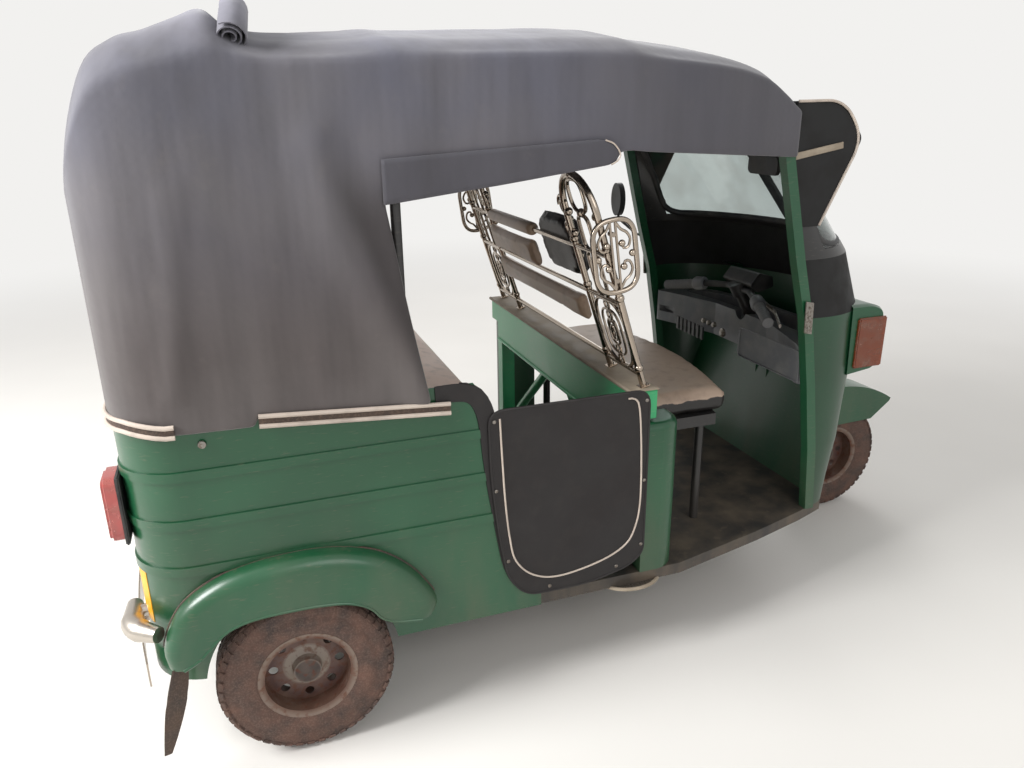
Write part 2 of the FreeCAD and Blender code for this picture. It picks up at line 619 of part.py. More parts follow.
def ornament(low, high, half_width, ahead, thin):
    """Long link in front of the posts with two bars and four small rings inside."""
    middle, half = (low + high) / 2, (high - low) / 2
    pieces = [oval_link(Vector(ahead, 0, middle), half, half_width, thin)]
    small = (half_width - thin - 8) / 2 + 1
    for sign in (-1, 1):
        pieces.append(rod((ahead, sign * 8, low + 2), (ahead, sign * 8, high - 2), 0.7 * thin))
        for level in (middle - 0.42 * half, middle + 0.42 * half):
            centre = Vector(ahead, sign * (8 + small), level)
            pieces.append(Part.makeTorus(small - 0.7 * thin, 0.7 * thin, centre, Vector(1, 0, 0)))
    return pieces


def make_partition_frame():
    """Bent posts with rails between them, and a ladder of scrolls and an ornament at each end."""
    outer, inner, top = cells.partition_half_width - 14, ladder_inner - 14, cells.partition_height
    bend = (outer - inner) / 2 - 0.01
    thin = cells.scroll_radius
    middle = (outer + inner) / 2
    post = [(0, -outer, 4), (0, -outer, top), (0, -inner, top), (0, -inner, 4)]
    pieces = [tube(post, cells.post_radius, bend)]
    ring = bend - cells.post_radius + thin
    low, centre, high = partition_rails
    filling = scroll_panel(low + 10, centre - 10, ring, thin)
    filling += ornament(centre + 30, high + 92, bend, cells.post_radius + thin - 1.5, thin)
    filling.append(Part.makeTorus(ring, thin, Vector(0, 0, high + 115), Vector(1, 0, 0)))
    for piece in filling:
        piece.translate(Vector(0, -middle, 0))
        pieces.append(piece)
    shapes = [copy for piece in pieces for copy in both_sides(piece)]
    for level in partition_rails:
        shapes.append(rod((0, -outer, level), (0, outer, level), cells.rail_radius))
    for sign in (-1, 1):
        for foot in (outer, inner):
            shapes.append(block((-14, sign * foot - 14, 5), (14, sign * foot + 14, 9)))
    return shape_node("partition_frame", join(shapes), partition_place)


nodes.append(make_partition_frame())


def make_partition_pads():
    """Padded bar and roll across the partition, bored for the rails."""
    half = ladder_inner - 32
    low, centre, high = partition_rails
    top = centre - cells.rail_radius - cells.seat_gap
    pad = plate([(-26, -half, low + 100), (4, -half, low + 100), (4, -half, top), (-26, -half, top)], (0, 2 * half, 0), 8)
    bore = rod((0, -half - 1, high), (0, half + 1, high), cells.rail_radius + cells.seat_gap)
    roll = rod((0, -half, high), (0, half, high), 36).cut(bore)
    return shape_node("partition_pads", Part.makeCompound([pad, roll]), partition_place)


def make_driver_backrest():
    """Oval cushion on the driver's side of the partition."""
    rest = cells.rail_radius + cells.seat_gap
    low, high = partition_rails[1] - 75, partition_rails[2] - 40
    cushion = plate([(rest, -330, low), (rest, -70, low), (rest, -70, high), (rest, -330, high)], (38, 0, 0), 80)
    return shape_node("driver_backrest", cushion, partition_place)


nodes += [make_partition_pads(), make_driver_backrest()]


# Nose: plan of the front at each level: height, post front x, post y, side x, side y, centre x
NOSE = {
    "sill": (floor_top, 652, 450, 700, 432, 800),
    "knee": (480, 634, 450, 728, 430, 885),
    "brow": (cells.brow_height, 603, 450, 752, 420, 932),
    "cowl": (cells.cowl_height, 568, 450, 765, 405, 938),
    "glass foot": (cells.glass_foot, 520, 448, 704, 400, 876),
    "glass top": (cells.glass_top, 436, 442, 470, 404, 600),
}


def nose_curve(level, inset):
    """Half round plan curve of the nose, from the right post round the front to the left one."""
    height, post_x, post_y, side_x, side_y, centre_x = NOSE[level]
    deep = inset * 0.75
    shoulder = centre_x - 0.24 * (centre_x - side_x)
    right = [(post_x, -post_y + inset), (side_x - deep, -side_y + deep), (shoulder - inset, -side_y / 2)]
    points = right + [(centre_x - inset, 0)] + [(along, -across) for along, across in right[::-1]]
    curve = Part.BSplineCurve()
    curve.interpolate([Vector(along, across, height) for along, across in points])
    return curve.toShape()


def nose_section(level, outer, inner):
    front, back = nose_curve(level, outer), nose_curve(level, inner)
    ends = [(front.valueAt(edge_end(front, i)), back.valueAt(edge_end(back, i))) for i in (0, 1)]
    return Part.Wire([front, Part.LineSegment(*ends[1]).toShape(), back, Part.LineSegment(*ends[0]).toShape()])


def edge_end(edge, i):
    return edge.ParameterRange[i]


def nose_shell(levels, outer, inner):
    """Curved sheet between two insets from the nose surface."""
    return Part.makeLoft([nose_section(level, outer, inner) for level in levels], True, True)


def nose_fill(levels, inset):
    """Everything behind the nose surface, back to the posts."""
    wires = []
    for level in levels:
        curve = nose_curve(level, inset)
        ends = [curve.valueAt(edge_end(curve, i)) for i in (1, 0)]
        wires.append(Part.Wire([curve, Part.LineSegment(*ends).toShape()]))
    return Part.makeLoft(wires, True, True)


shield_levels = ("sill", "knee", "brow", "cowl")
glass_levels = ("glass foot", "glass top")


def make_front_shield():
    """Green apron of the nose, open round the front wheel."""
    shell = nose_shell(shield_levels, 0, cells.skin)
    arch = plate([(600, -235, 200), (600, -235, 535), (600, 235, 535), (600, 235, 200)], (500, 0, 0), 90)
    return shape_node("front_shield", shell.cut(arch), nose_place)


def make_cowl():
    """Black band between the apron and the windscreen."""
    return shape_node("cowl", nose_shell(("cowl", "glass foot"), 0, 10), nose_place)


def glass_window(margin):
    """Side outline of the glazed stretch, swept across the nose."""
    low, high = cells.glass_foot + 26 + margin, cells.glass_top - 26 - margin
    outline = [(596 + margin, -700, low), (1100, -700, low), (1100, -700, high), (452 + margin, -700, high)]
    return plate(outline, (0, 1400, 0))


def make_windscreen_frame():
    return shape_node("windscreen_frame", nose_shell(glass_levels, 0, 14).cut(glass_window(0)), nose_place)


def make_windscreen_glass():
    return shape_node("windscreen_glass", nose_shell(glass_levels, 5, 10).common(glass_window(0)), nose_place)


def make_door_post():
    body = new_body("door_post_source", (at_nose_datum[0], "-435 - post_width", "0"))
    front = [(NOSE[level][1] - 2, NOSE[level][0]) for level in NOSE]
    outline = [(f"{along}", f"{height}") for along, height in front]
    outline += [(f"{along} - post_width", f"{height}") for along, height in front[::-1]]
    feature(body, "Pad", sketch(body, "XZ_Plane", outline), Length="post_width", Reversed=True)
    return body


def post_front(height):
    """Front edge of the door posts at a height."""
    levels = sorted(NOSE.values())
    for low, high in zip(levels, levels[1:]):
        if height <= high[0]:
            share = (height - low[0]) / (high[0] - low[0])
            return low[1] + share * (high[1] - low[1]) - 2
    return levels[-1][1] - 2


def toe_line(height):
    return 700 + 0.218 * (height - floor_top)


def make_toe_board():
    """Sloping board ahead of the driver's feet, carrying the steering head."""
    half, top = 440, cells.dash_foot
    outline = [(toe_line(floor_top), -half, floor_top), (toe_line(top), -half, top), (toe_line(top) + 5, -half, top),
               (toe_line(floor_top) + 5, -half, floor_top)]
    board = plate(outline, (0, 2 * half, 0)).common(nose_fill(shield_levels, cells.skin + 2))
    head = rod(on_steering(640), on_steering(850), cells.head_radius)
    ribs = []
    for sign in (-1, 1):
        rib = [(toe_line(560), sign * 34, 560), (toe_line(676), sign * 34, 676), (toe_line(676) - 42, sign * 34, 676),
               (toe_line(600) - 10, sign * 34, 590)]
        ribs.append(plate(rib, (0, -sign * 6, 0)))
    whole = join([board, head] + ribs)
    bore = rod(on_steering(600), on_steering(900), cells.column_radius + cells.running_gap)
    return shape_node("toe_board", whole.cut(bore), nose_place)


def make_dash():
    """Dash moulding round the column, with a parcel tray on top and two pockets in its face."""
    low, high = cells.dash_foot, cells.dash_top
    plan = [(562, -434), (610, -300), (655, -150), (655, 150), (610, 300), (562, 434), (700, 418), (775, 330), (815, 160),
            (815, -160), (775, -330), (700, -418)]
    dash = plate([(along, across, low) for along, across in plan], (0, 0, high - low), 18)
    tray = plate([(660, -380, high - 45), (690, -150, high - 45), (690, 150, high - 45), (660, 380, high - 45),
                  (720, 340, high - 45), (790, 150, high - 45), (790, -150, high - 45), (720, -340, high - 45)],
                 (0, 0, 60), 10)
    under = [(along + (8 if along < 660 else -8), across * 0.96, low - 1) for along, across in plan]
    hollow = plate(under, (0, 0, 45), 10)
    well = rod(on_steering(700), on_steering(1000), cells.head_radius + 12)
    dash = dash.cut(tray).cut(hollow).cut(well)
    for sign in (-1, 1):
        slot = block((540, sign * 360 - 45, high - 78), (598, sign * 360 + 45, high - 55))
        dash = dash.cut(slot)
    return shape_node("dash", dash, nose_place)


nodes += [make_front_shield(), make_cowl(), make_windscreen_frame(), make_windscreen_glass()]
nodes.append(mirrored_pair("door_posts", make_door_post()))
nodes += [make_toe_board(), make_dash()]


# Visor, hood and its frame
def make_visor():
    """Peak over the windscreen with a cheek at each side."""
    half = cells.visor_half_width
    cheek = [(449, 1474), (611, 1469), (675, 1404), (598, 1165), (post_front(1165), 1165), (post_front(1398), 1398),
             (449, 1445)]
    bend = [0, 60, 40, 12, 12, 0, 0]
    cheeks = [plate([(along, -half, height) for along, height in cheek], (0, 5, 0), bend)]
    lip = [(449, -half, 1474), (611, -half, 1469), (675, -half, 1404), (660, -half, 1372), (656, -half, 1373),
           (669, -half, 1403), (608, -half, 1464), (449, -half, 1469)]
    roof = plate(lip, (0, 2 * half, 0), [0, 60, 30, 0, 0, 26, 56, 0])
    return shape_node("visor", join([roof] + both_sides(cheeks[0])), nose_place)


# Hood stations: x from the tub's datum, share of the half width, crown and shoulder below the top, drop of the haunch
HOOD = ((-1262, 0.80, 300, 330, 18), (-1240, 0.90, 175, 262, 45), (-1180, 0.975, 75, 165, 50), (-1090, 1.0, 25, 110, 50),
        (-850, 1.0, 0, 88, 48), (-283, 0.995, -17, 72, 50), (118 + cab_stretch, 0.93, 8, 90, 46),
        (300 + cab_stretch, 0.86, 48, 120, 38), (447 + cab_stretch, 0.785, 164, 196, 10))


def hood_section(station, inset, foot):
    along, width, crown, shoulder, drop = station
    half, top, edge = cells.hood_half_width * width - inset, cells.hood_top - crown - inset, cells.hood_top - shoulder
    roof = Part.BSplineCurve()
    points = [(-half, edge), (-0.86 * half, top - drop), (-0.45 * half, top - 0.25 * drop), (0, top),
              (0.45 * half, top - 0.25 * drop), (0.86 * half, top - drop), (half, edge)]
    roof.interpolate([Vector(along, across, height) for across, height in points])
    corners = [Vector(along, half, edge), Vector(along, half, foot), Vector(along, -half, foot), Vector(along, -half, edge)]
    sides = [Part.LineSegment(start, end).toShape() for start, end in zip(corners, corners[1:])]
    return Part.Wire([roof.toShape()] + sides)


def hood_solid(inset, foot):
    stations = list(HOOD)
    if inset:
        first, last = stations[0], stations[-1]
        stations[0] = (first[0] + inset,) + first[1:]
        stations[-1] = (last[0] + 1,) + last[1:]
    return Part.makeLoft([hood_section(station, inset, foot) for station in stations], True, True)


def make_canopy():
    """Canvas hood: roof, rear and side quarters, with doorways, a rear window and the right hand valance."""
    foot = cells.belt_height + 1
    canopy = hood_solid(0, foot).cut(hood_solid(cells.hood_skin, foot - 50))
    rear_edge = [(-589, foot - 60), (-589, foot)]
    front = 520 + cab_stretch
    right = rear_edge + [(-665, 1297), (-180, 1350), (-120, 1381), (-58, 1374), (front, 1336), (front, foot - 60)]
    left = rear_edge + [(-650, 1385), (front, 1340), (front, foot - 60)]
    for outline, sign in ((right, -1), (left, 1)):
        canopy = canopy.cut(plate([(along, 0, height) for along, height in outline], (0, sign * 700, 0)))
    window = [(-1300, -260, 1080), (-1300, 260, 1080), (-1300, 260, 1300), (-1300, -260, 1300)]
    return shape_node("canopy", canopy.cut(plate(window, (150, 0, 0), 40)), tub_place)


def hood_bow(along, half, foot, shoulder, crown, bend=50):
    drop = 0.11 * half
    path = [(along, -half, foot), (along, -half, shoulder), (along, -0.8 * half, crown - drop), (along, 0, crown),
            (along, 0.8 * half, crown - drop), (along, half, shoulder), (along, half, foot)]
    return tube(path, cells.bow_radius, [0, bend, bend, 200, bend, bend, 0])


def make_hood_frame():
    """Tube bows under the canvas, tied by side rails to the heads of the door posts."""
    top = cells.hood_top
    tub_side = cells.tub_half_width - cells.skin - cells.bow_radius
    bows = [hood_bow(-640, tub_side, cells.belt_height - 60, top - 122, top - 28),
            hood_bow(-1120, tub_side - 30, cells.belt_height - 60, top - 190, top - 85),
            hood_bow(-100, 555, 1400, top - 122, top - 24),
            hood_bow(412 + cab_stretch, 425, cells.glass_top + 4, 1430, 1484, 18)]
    rail = tube([(-1120, tub_side - 30, 1400), (-640, tub_side, 1400), (-100, 555, 1400), (412 + cab_stretch, 425, 1412)],
                9, 40)
    return shape_node("hood_frame", join(bows + both_sides(rail)), tub_place)


def make_curtain_roll():
    """Rolled-up curtain lying over the roof."""
    radius, top = cells.roll_radius, cells.hood_top
    rise = radius - 6
    path = [(-925, -575, top - 60), (-915, -490, top - 34 + rise), (-905, -260, top - 12 + rise), (-905, 0, top + rise),
            (-905, 260, top - 12 + rise), (-915, 490, top - 34 + rise), (-925, 575, top - 60)]
    roll = tube(path, radius, [0, 70, 200, 200, 200, 70, 0])
    return shape_node("curtain_roll", roll.cut(hood_solid(0, cells.belt_height)), tub_place)


nodes += [make_visor(), make_canopy(), make_hood_frame(), make_curtain_roll()]


# Lamps and fittings
def make_headlamp_pods():
    """Housing at each side of the nose with a round mouth for the lamp."""
    pod = plate([(700, -428, 700), (884, -428, 712), (904, -428, 740), (900, -428, 880), (860, -428, 896), (700, -428, 896)],
                (0, 150, 0), [0, 10, 24, 24, 20, 0])
    pod = pod.cut(nose_fill(shield_levels, 0)).cut(nose_fill(("cowl", "glass foot"), 0))
    pod = pod.cut(Part.makeCylinder(58, 60, Vector(872, -353, 802), Vector(1, 0, 0)))
    pod = pod.cut(block((858, -440, 735), (920, -414, 858)))
    return shape_node("headlamp_pods", Part.makeCompound(both_sides(pod)), nose_place)


def make_headlamps():
    lamp = Part.makeCylinder(57.5, 26, Vector(872, -353, 802), Vector(1, 0, 0))
    dome = Part.makeSphere(120, Vector(806, -353, 802))
    dome = dome.common(Part.makeCylinder(57.5, 60, Vector(880, -353, 802), Vector(1, 0, 0)))
    return shape_node("headlamps", Part.makeCompound(both_sides(join([lamp, dome]))), nose_place)


def make_turn_lamps():
    lens = plate([(858, -414, 735), (858, -436, 735), (908, -432, 735), (912, -414, 735)], (0, 0, 123), [0, 8, 10, 0])
    return shape_node("turn_lamps", Part.makeCompound(both_sides(lens)), nose_place)


def make_tail_lamps():
    lamp = plate([(-cells.tub_back - cells.rib_height - 0.5, -530, 475), (-cells.tub_back - 40, -530, 482),
                  (-cells.tub_back - 40, -530, 632), (-cells.tub_back - cells.rib_height - 0.5, -530, 640)],
                 (0, 95, 0), [0, 14, 14, 0])
    return shape_node("tail_lamps", Part.makeCompound(both_sides(lamp)), tub_place)


def make_rear_bumper():
    """Bowed bar on two brackets below the engine lid."""
    body = new_body("rear_bumper", at_tub_datum)
    back, side = "-tub_back - bumper_bow", "(tub_half_width - 40)"
    outline = [("-tub_back - 12", f"-{side}", back, "0"), ("-tub_back - 12", side),
               ("-tub_back - 8", side, f"{back} + 4", "0"), ("-tub_back - 8", f"-{side}")]
    feature(body, "Pad", sketch(body, "XY_Plane", outline, "228"), Length="62")
    for sign in (-1, 1):
        reach, middle = "-tub_back - 0.74 * bumper_bow", f"({sign}) * tub_half_width / 2"
        bracket = [(reach, f"{middle} - 18"), ("-tub_back", f"{middle} - 18"),
                   ("-tub_back", f"{middle} + 18"), (reach, f"{middle} + 18")]
        feature(body, "Pad", sketch(body, "XY_Plane", bracket, "floor_height + 4"), Length="30")
    return body


def make_mud_flap():
    body = new_body("mud_flap_source", (f"{rear_axle} - 313", "-tub_half_width - 2", "0"))
    outline = [("0", "28"), ("4", "28"), ("4", "fender_foot"), ("0", "fender_foot")]
    feature(body, "Pad", sketch(body, "XZ_Plane", outline), Length="fender_width - 6")
    return body


def make_mirror():
    """Oval mirror on a bent stem from the left door post."""
    stem = tube([(505, 465.3, 1010), (505, 492, 1010), (470, 575, 1060), (466, 575, 1100)], 5, 12)
    head = Part.Face(Part.Wire(Part.Ellipse(Vector(0, 0, 0), 62, 40).toShape()))
    head.rotate(Vector(0, 0, 0), Vector(0, 1, 0), 90)
    head = head.extrude(Vector(22, 0, 0))
    head.translate(Vector(455, 575, 1134))
    return shape_node("mirror", join([stem, head]), nose_place)


nodes += [make_headlamp_pods(), make_headlamps(), make_turn_lamps(), make_tail_lamps(), make_rear_bumper()]
nodes += [mirrored_pair("mud_flaps", make_mud_flap()), make_mirror()]


# Rear suspension and engine
def make_rear_suspension():
    """Trailing arms with stub axles, spring struts to the deck, and drive shafts."""
    hub_face = wheel_y - cells.hub_length / 2 - cells.moving_gap
    deck_foot = cells.deck_height - cells.skin - 2
    axle_x, pan_x = -cells.tub_datum, -cells.floor_back - cells.seat_gap
    pieces = [
        tube([(pan_x, -400, 261), (pan_x - 60, -400, 261), (axle_x, -468, axle_z)], 22, 60),
        rod((axle_x, -440, axle_z), (axle_x, -hub_face, axle_z), 26),
        rod((axle_x, -440, axle_z), (axle_x, -wheel_y - 18, axle_z), cells.axle_radius),
        rod((axle_x, -452, axle_z), (axle_x - 40, -430, deck_foot), 12),
        rod((axle_x - 3, -450, 235), (axle_x - 30, -436, 545), 34),
        rod((axle_x, -128, 300), (axle_x, -445, axle_z), 11),
        rod((axle_x, -136, 297.7), (axle_x, -172, 287), 34),
    ]
    return shape_node("rear_suspension", Part.makeCompound(both_sides(join(pieces))), tub_place)


def make_engine():
    """Crankcase with a finned barrel and silencer, on arms from the floor's back edge."""
    case = rod((-950, -120, 330), (-950, 120, 330), 112)
    gearbox = block((-1010, -124, 250), (-860, 124, 380))
    barrel = rod((-1010, 0, 400), (-1075, 0, 545), 52)
    pieces = [case, gearbox, barrel]
    for fin in range(7):
        reach = 0.28 + 0.1 * fin
        foot = (-1010 - 65 * reach, 0, 400 + 145 * reach)
        pieces.append(rod(foot, (foot[0] - 1.6, 0, foot[2] + 3.6), 78))
    pieces.append(rod((-1130, -230, 330), (-1130, 230, 330), 58))
    pieces.append(tube([(-1010, 0, 425), (-1110, 0, 425), (-1130, 0, 380)], 17, 25))
    for sign in (-1, 1):
        pieces.append(rod((-cells.floor_back - 2, sign * 100, 262), (-930, sign * 100, 300), 15))
    return shape_node("engine", join(pieces), tub_place)


nodes += [make_rear_suspension(), make_engine()]

doc.recompute()
failed = [item.Label for item in doc.Objects if "Invalid" in item.State or "Error" in item.State]
failed += [node.Label for node in nodes if node.Shape.isNull() or not node.Shape.isValid()]
if failed:
    raise RuntimeError("These pieces failed: " + ", ".join(failed))
for node in nodes:
    node.Shape.exportStep(f"parts/{node.Label}.step")
    box = node.Shape.BoundBox
    print(f"{node.Label}: {len(node.Shape.Solids)} solids, x {box.XMin:.0f} {box.XMax:.0f}, "
          f"y {box.YMin:.0f} {box.YMax:.0f}, z {box.ZMin:.0f} {box.ZMax:.0f}")
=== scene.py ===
"""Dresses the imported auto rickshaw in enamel, canvas, vinyl, rubber and glass, and sets light and camera."""

import math

import bmesh
import bpy
from mathutils import Matrix, Vector, noise


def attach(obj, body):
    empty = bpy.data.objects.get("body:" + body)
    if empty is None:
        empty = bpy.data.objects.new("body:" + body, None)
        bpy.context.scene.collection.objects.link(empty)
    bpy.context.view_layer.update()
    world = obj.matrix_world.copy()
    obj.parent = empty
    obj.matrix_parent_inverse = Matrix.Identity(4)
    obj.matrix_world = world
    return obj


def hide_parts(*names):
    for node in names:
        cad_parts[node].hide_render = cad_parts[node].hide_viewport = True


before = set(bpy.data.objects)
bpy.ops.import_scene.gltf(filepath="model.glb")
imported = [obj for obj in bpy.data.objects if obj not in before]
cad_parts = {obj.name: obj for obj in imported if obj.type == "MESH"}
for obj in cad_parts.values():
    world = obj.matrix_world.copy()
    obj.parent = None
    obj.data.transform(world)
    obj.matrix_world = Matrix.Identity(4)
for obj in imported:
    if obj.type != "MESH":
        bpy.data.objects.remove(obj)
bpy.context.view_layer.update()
scene = bpy.context.scene

# Places that the body's own shapes share, in millimetres
REAR_AXLE = (-920, 575, 207)
FRONT_AXLE = (1080, 0, 207)
PARTITION_FOOT = (-16, 790)
PARTITION_LEAN = math.radians(18)
PARTITION_RAILS = (40, 235, 363)
POST_OUTER, POST_INNER, POST_TOP = 548, 362, 560
# Hood stations: x, share of the half width, crown, shoulder and haunch below the top
HOOD = ((-1262, 0.80, 300, 330, 18), (-1240, 0.91, 172, 258, 40), (-1175, 0.98, 52, 135, 24),
        (-1085, 1.0, 12, 100, 28), (-1020, 1.0, -15, 86, 30), (-970, 1.0, -36, 74, 34),
        (-925, 1.0, -8, 84, 42), (-850, 1.0, 0, 88, 48), (-283, 0.995, -17, 72, 50),
        (118, 0.93, 8, 90, 46), (300, 0.86, 48, 120, 38), (447, 0.785, 164, 196, 10))
HOOD_HALF = 606
HOOD_TOP = 1652
FORWARDS = Vector((1, 0, 0))
LEFTWARDS = Vector((0, 1, 0))
UPWARDS = Vector((0, 0, 1))


# Lines and meshes
def at(x, y, z):
    """A place in the frame, given in millimetres."""
    return Vector((x, y, z)) / 1000


def along(y, rows):
    """Places on one lengthwise plane, from rows of x and z."""
    return [at(x, y, z) for x, z in rows]


def athwart(x, rows):
    """Places on one crosswise plane, from rows of y and z."""
    return [at(x, y, z) for y, z in rows]


def on_partition(ahead, side, up):
    """A place in millimetres in the partition's own leaning frame."""
    sine, cosine = math.sin(PARTITION_LEAN), math.cos(PARTITION_LEAN)
    foot_x, foot_z = PARTITION_FOOT
    return at(foot_x + ahead * cosine - up * sine, side, foot_z + ahead * sine + up * cosine)


def flowing(controls, step=0.012):
    """Points along a smooth line through the controls, about a step apart."""
    line = []
    for i in range(len(controls) - 1):
        start, end = controls[i], controls[i + 1]
        before = controls[i - 1] if i else start * 2 - end
        after = controls[i + 2] if i + 2 < len(controls) else end * 2 - start
        pieces = max(2, round((end - start).length / step))
        for k in range(pieces):
            t = k / pieces
            square = before * 2 - start * 5 + end * 4 - after
            cube = start * 3 - before - end * 3 + after
            line.append((start * 2 + (end - before) * t + square * t * t + cube * t ** 3) / 2)
    line.append(controls[-1].copy())
    return line


def bent(corners, radius, closed=False, steps=5):
    """Straight runs between the corners, each corner rounded to the radius."""
    count = len(corners)
    line = []
    for i, corner in enumerate(corners):
        if not closed and i in (0, count - 1):
            line.append(corner.copy())
            continue
        back = corners[i - 1] - corner
        ahead = corners[(i + 1) % count] - corner
        reach = min(radius, 0.45 * back.length, 0.45 * ahead.length)
        start = corner + back.normalized() * reach
        end = corner + ahead.normalized() * reach
        for k in range(steps + 1):
            t = k / steps
            line.append(start * (1 - t) ** 2 + corner * 2 * t * (1 - t) + end * t * t)
    return line


def shared_out(line, count):
    """The same line as evenly spaced points."""
    lengths = [0.0]
    for start, end in zip(line, line[1:]):
        lengths.append(lengths[-1] + (end - start).length)
    places = []
    j = 0
    for k in range(count):
        run = lengths[-1] * k / (count - 1)
        while j < len(line) - 2 and lengths[j + 1] < run:
            j += 1
        t = (run - lengths[j]) / max(1e-9, lengths[j + 1] - lengths[j])
        places.append(line[j].lerp(line[j + 1], min(1, t)))
    return places


def circle(radius, sides=12):
    """A round section for a swept shape, radius in millimetres."""
    turns = [2 * math.pi * i / sides for i in range(sides)]
    return [(radius * math.cos(turn), radius * math.sin(turn)) for turn in turns]


def skin(rings, closed=True, joined=False, capped=False):
    """A mesh through rings of points: closed rings meet themselves, a joined skin meets its first ring."""
    mesh = bmesh.new()
    rows = [[mesh.verts.new(place) for place in ring] for ring in rings]
    width = len(rows[0])
    for j in range(len(rows) if joined else len(rows) - 1):
        low, high = rows[j], rows[(j + 1) % len(rows)]
        for i in range(width if closed else width - 1):
            ahead = (i + 1) % width
            mesh.faces.new((low[i], low[ahead], high[ahead], high[i]))
    if capped:
        mesh.faces.new(rows[0][::-1])
        mesh.faces.new(rows[-1])
    return mesh


def swept(line, section, up=None, closed=False, sizes=None):
    """A section in millimetres carried along a line, square to up where one is given, untwisted elsewhere."""
    rings = []
    count = len(line)
    side = None
    for i, place in enumerate(line):
        before = line[i - 1] if closed or i else place
        after = line[(i + 1) % count] if closed or i + 1 < count else place
        heading = (after - before).normalized()
        if up is not None:
            side = heading.cross(up).normalized()
        elif side is None:
            side = heading.orthogonal().normalized()
        else:
            side = (side - heading * side.dot(heading)).normalized()
        rise = side.cross(heading)
        size = sizes[i] / 1000 if sizes else 0.001
        rings.append([place + (side * across + rise * high) * size for across, high in section])
    return skin(rings, joined=closed, capped=not closed)


def turned(profile, centre, axis=(0, 1, 0), steps=48):
    """A shape turned about an axis: the profile gives places along it and radii, in millimetres."""
    axis = Vector(axis).normalized()
    side = axis.orthogonal().normalized()
    rise = axis.cross(side)
    rings = []
    for i in range(steps):
        turn = 2 * math.pi * i / steps
        spoke = side * math.cos(turn) + rise * math.sin(turn)
        rings.append([at(*centre) + (axis * run + spoke * radius) / 1000 for run, radius in profile])
    return skin(rings, closed=False, joined=True)


def slab(outline, depth, bevel=0.0, rounds=2):
    """A plate with this outline, as thick as the depth vector, with its edges rounded by the bevel."""
    mesh = bmesh.new()
    face = mesh.faces.new([mesh.verts.new(place) for place in outline])
    grown_part = bmesh.ops.extrude_face_region(mesh, geom=[face])
    moved = [item for item in grown_part["geom"] if isinstance(item, bmesh.types.BMVert)]
    bmesh.ops.translate(mesh, verts=moved, vec=depth)
    if bevel:
        rims = [edge for edge in mesh.edges if edge.calc_face_angle(0) > 0.6]
        bmesh.ops.bevel(mesh, geom=rims, offset=bevel, segments=rounds, affect="EDGES", clamp_overlap=True)
    return mesh


def block(low, high, bevel):
    """A rounded block between two corners, in millimetres."""
    outline = along(low[1], ((low[0], low[2]), (high[0], low[2]), (high[0], high[2]), (low[0], high[2])))
    return slab(outline, Vector((0, (high[1] - low[1]) / 1000, 0)), bevel / 1000, 3)


def gathered(parts):
    """One mesh from several."""
    whole = bmesh.new()
    for part in parts:
        spare = bpy.data.meshes.new("spare")
        part.to_mesh(spare)
        part.free()
        whole.from_mesh(spare)
        bpy.data.meshes.remove(spare)
    return whole


def mirrored(part):
    """The same mesh on the other side of the vehicle."""
    other = part.copy()
    for vert in other.verts:
        vert.co.y = -vert.co.y
    return other


def both_sides(parts):
    """One mesh of the parts and their mirror images."""
    return gathered(list(parts) + [mirrored(part) for part in parts])


def bare(name, mesh, sharp=35):
    """An object of this mesh with its faces outwards and its creases kept sharp."""
    bmesh.ops.remove_doubles(mesh, verts=mesh.verts, dist=0.00002)
    bmesh.ops.recalc_face_normals(mesh, faces=mesh.faces)
    for edge in mesh.edges:
        edge.smooth = edge.calc_face_angle(0) < math.radians(sharp)
    for face in mesh.faces:
        face.smooth = True
    data = bpy.data.meshes.new(name)
    mesh.to_mesh(data)
    mesh.free()
    made = bpy.data.objects.new(name, data)
    scene.collection.objects.link(made)
    return made


def fitted(made, material, covers=(), body="chassis"):
    """Gives an object its finish and its place on a body; covers are the solids that it stands for."""
    made.data.materials.clear()
    made.data.materials.append(material)
    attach(made, body)
    if covers:
        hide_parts(*covers)
    return made


def piece(name, mesh, material, covers=(), body="chassis", sharp=35):
    """A finished piece of the vehicle."""
    return fitted(bare(name, mesh, sharp), material, covers, body)


# Finishes
def colour(code):
    """The linear colour of an sRGB hex value."""
    parts = [int(code[i:i + 2], 16) / 255 for i in (0, 2, 4)]
    return tuple(p / 12.92 if p <= 0.04045 else ((p + 0.055) / 1.055) ** 2.4 for p in parts) + (1.0,)


def add(tree, kind, feeds=None, **settings):
    """Adds one node with its settings; feeds are its inputs, each a plain value or a socket."""
    node = tree.nodes.new(kind)
    for name, setting in settings.items():
        setattr(node, name, setting)
    for name, source in (feeds or {}).items():
        if isinstance(source, bpy.types.NodeSocket):
            tree.links.new(source, node.inputs[name])
        else:
            node.inputs[name].default_value = source
    return node


def surface(name, **values):
    """A new material with the plain values set on its shader's own sockets."""
    material = bpy.data.materials.new(name)
    material.use_nodes = True
    shader = material.node_tree.nodes["Principled BSDF"]
    for key, value in values.items():
        shader.inputs[key.replace("_", " ")].default_value = value
    return material, material.node_tree, shader


def painted(tree, shader, base, rough=None):
    """Drives a shader's colour, and its roughness where that isn't plain."""
    tree.links.new(base, shader.inputs["Base Color"])
    if rough is not None:
        tree.links.new(rough, shader.inputs["Roughness"])


def placed(tree, stretch=(1, 1, 1), centre=(0, 0, 0)):
    """Object coordinates in metres, centred on a place and stretched."""
    coordinates = add(tree, "ShaderNodeTexCoord").outputs["Object"]
    offset = [-c * s / 1000 for c, s in zip(centre, stretch)]
    feeds = {"Vector": coordinates, "Location": offset, "Scale": stretch}
    return add(tree, "ShaderNodeMapping", feeds, vector_type="POINT").outputs[0]


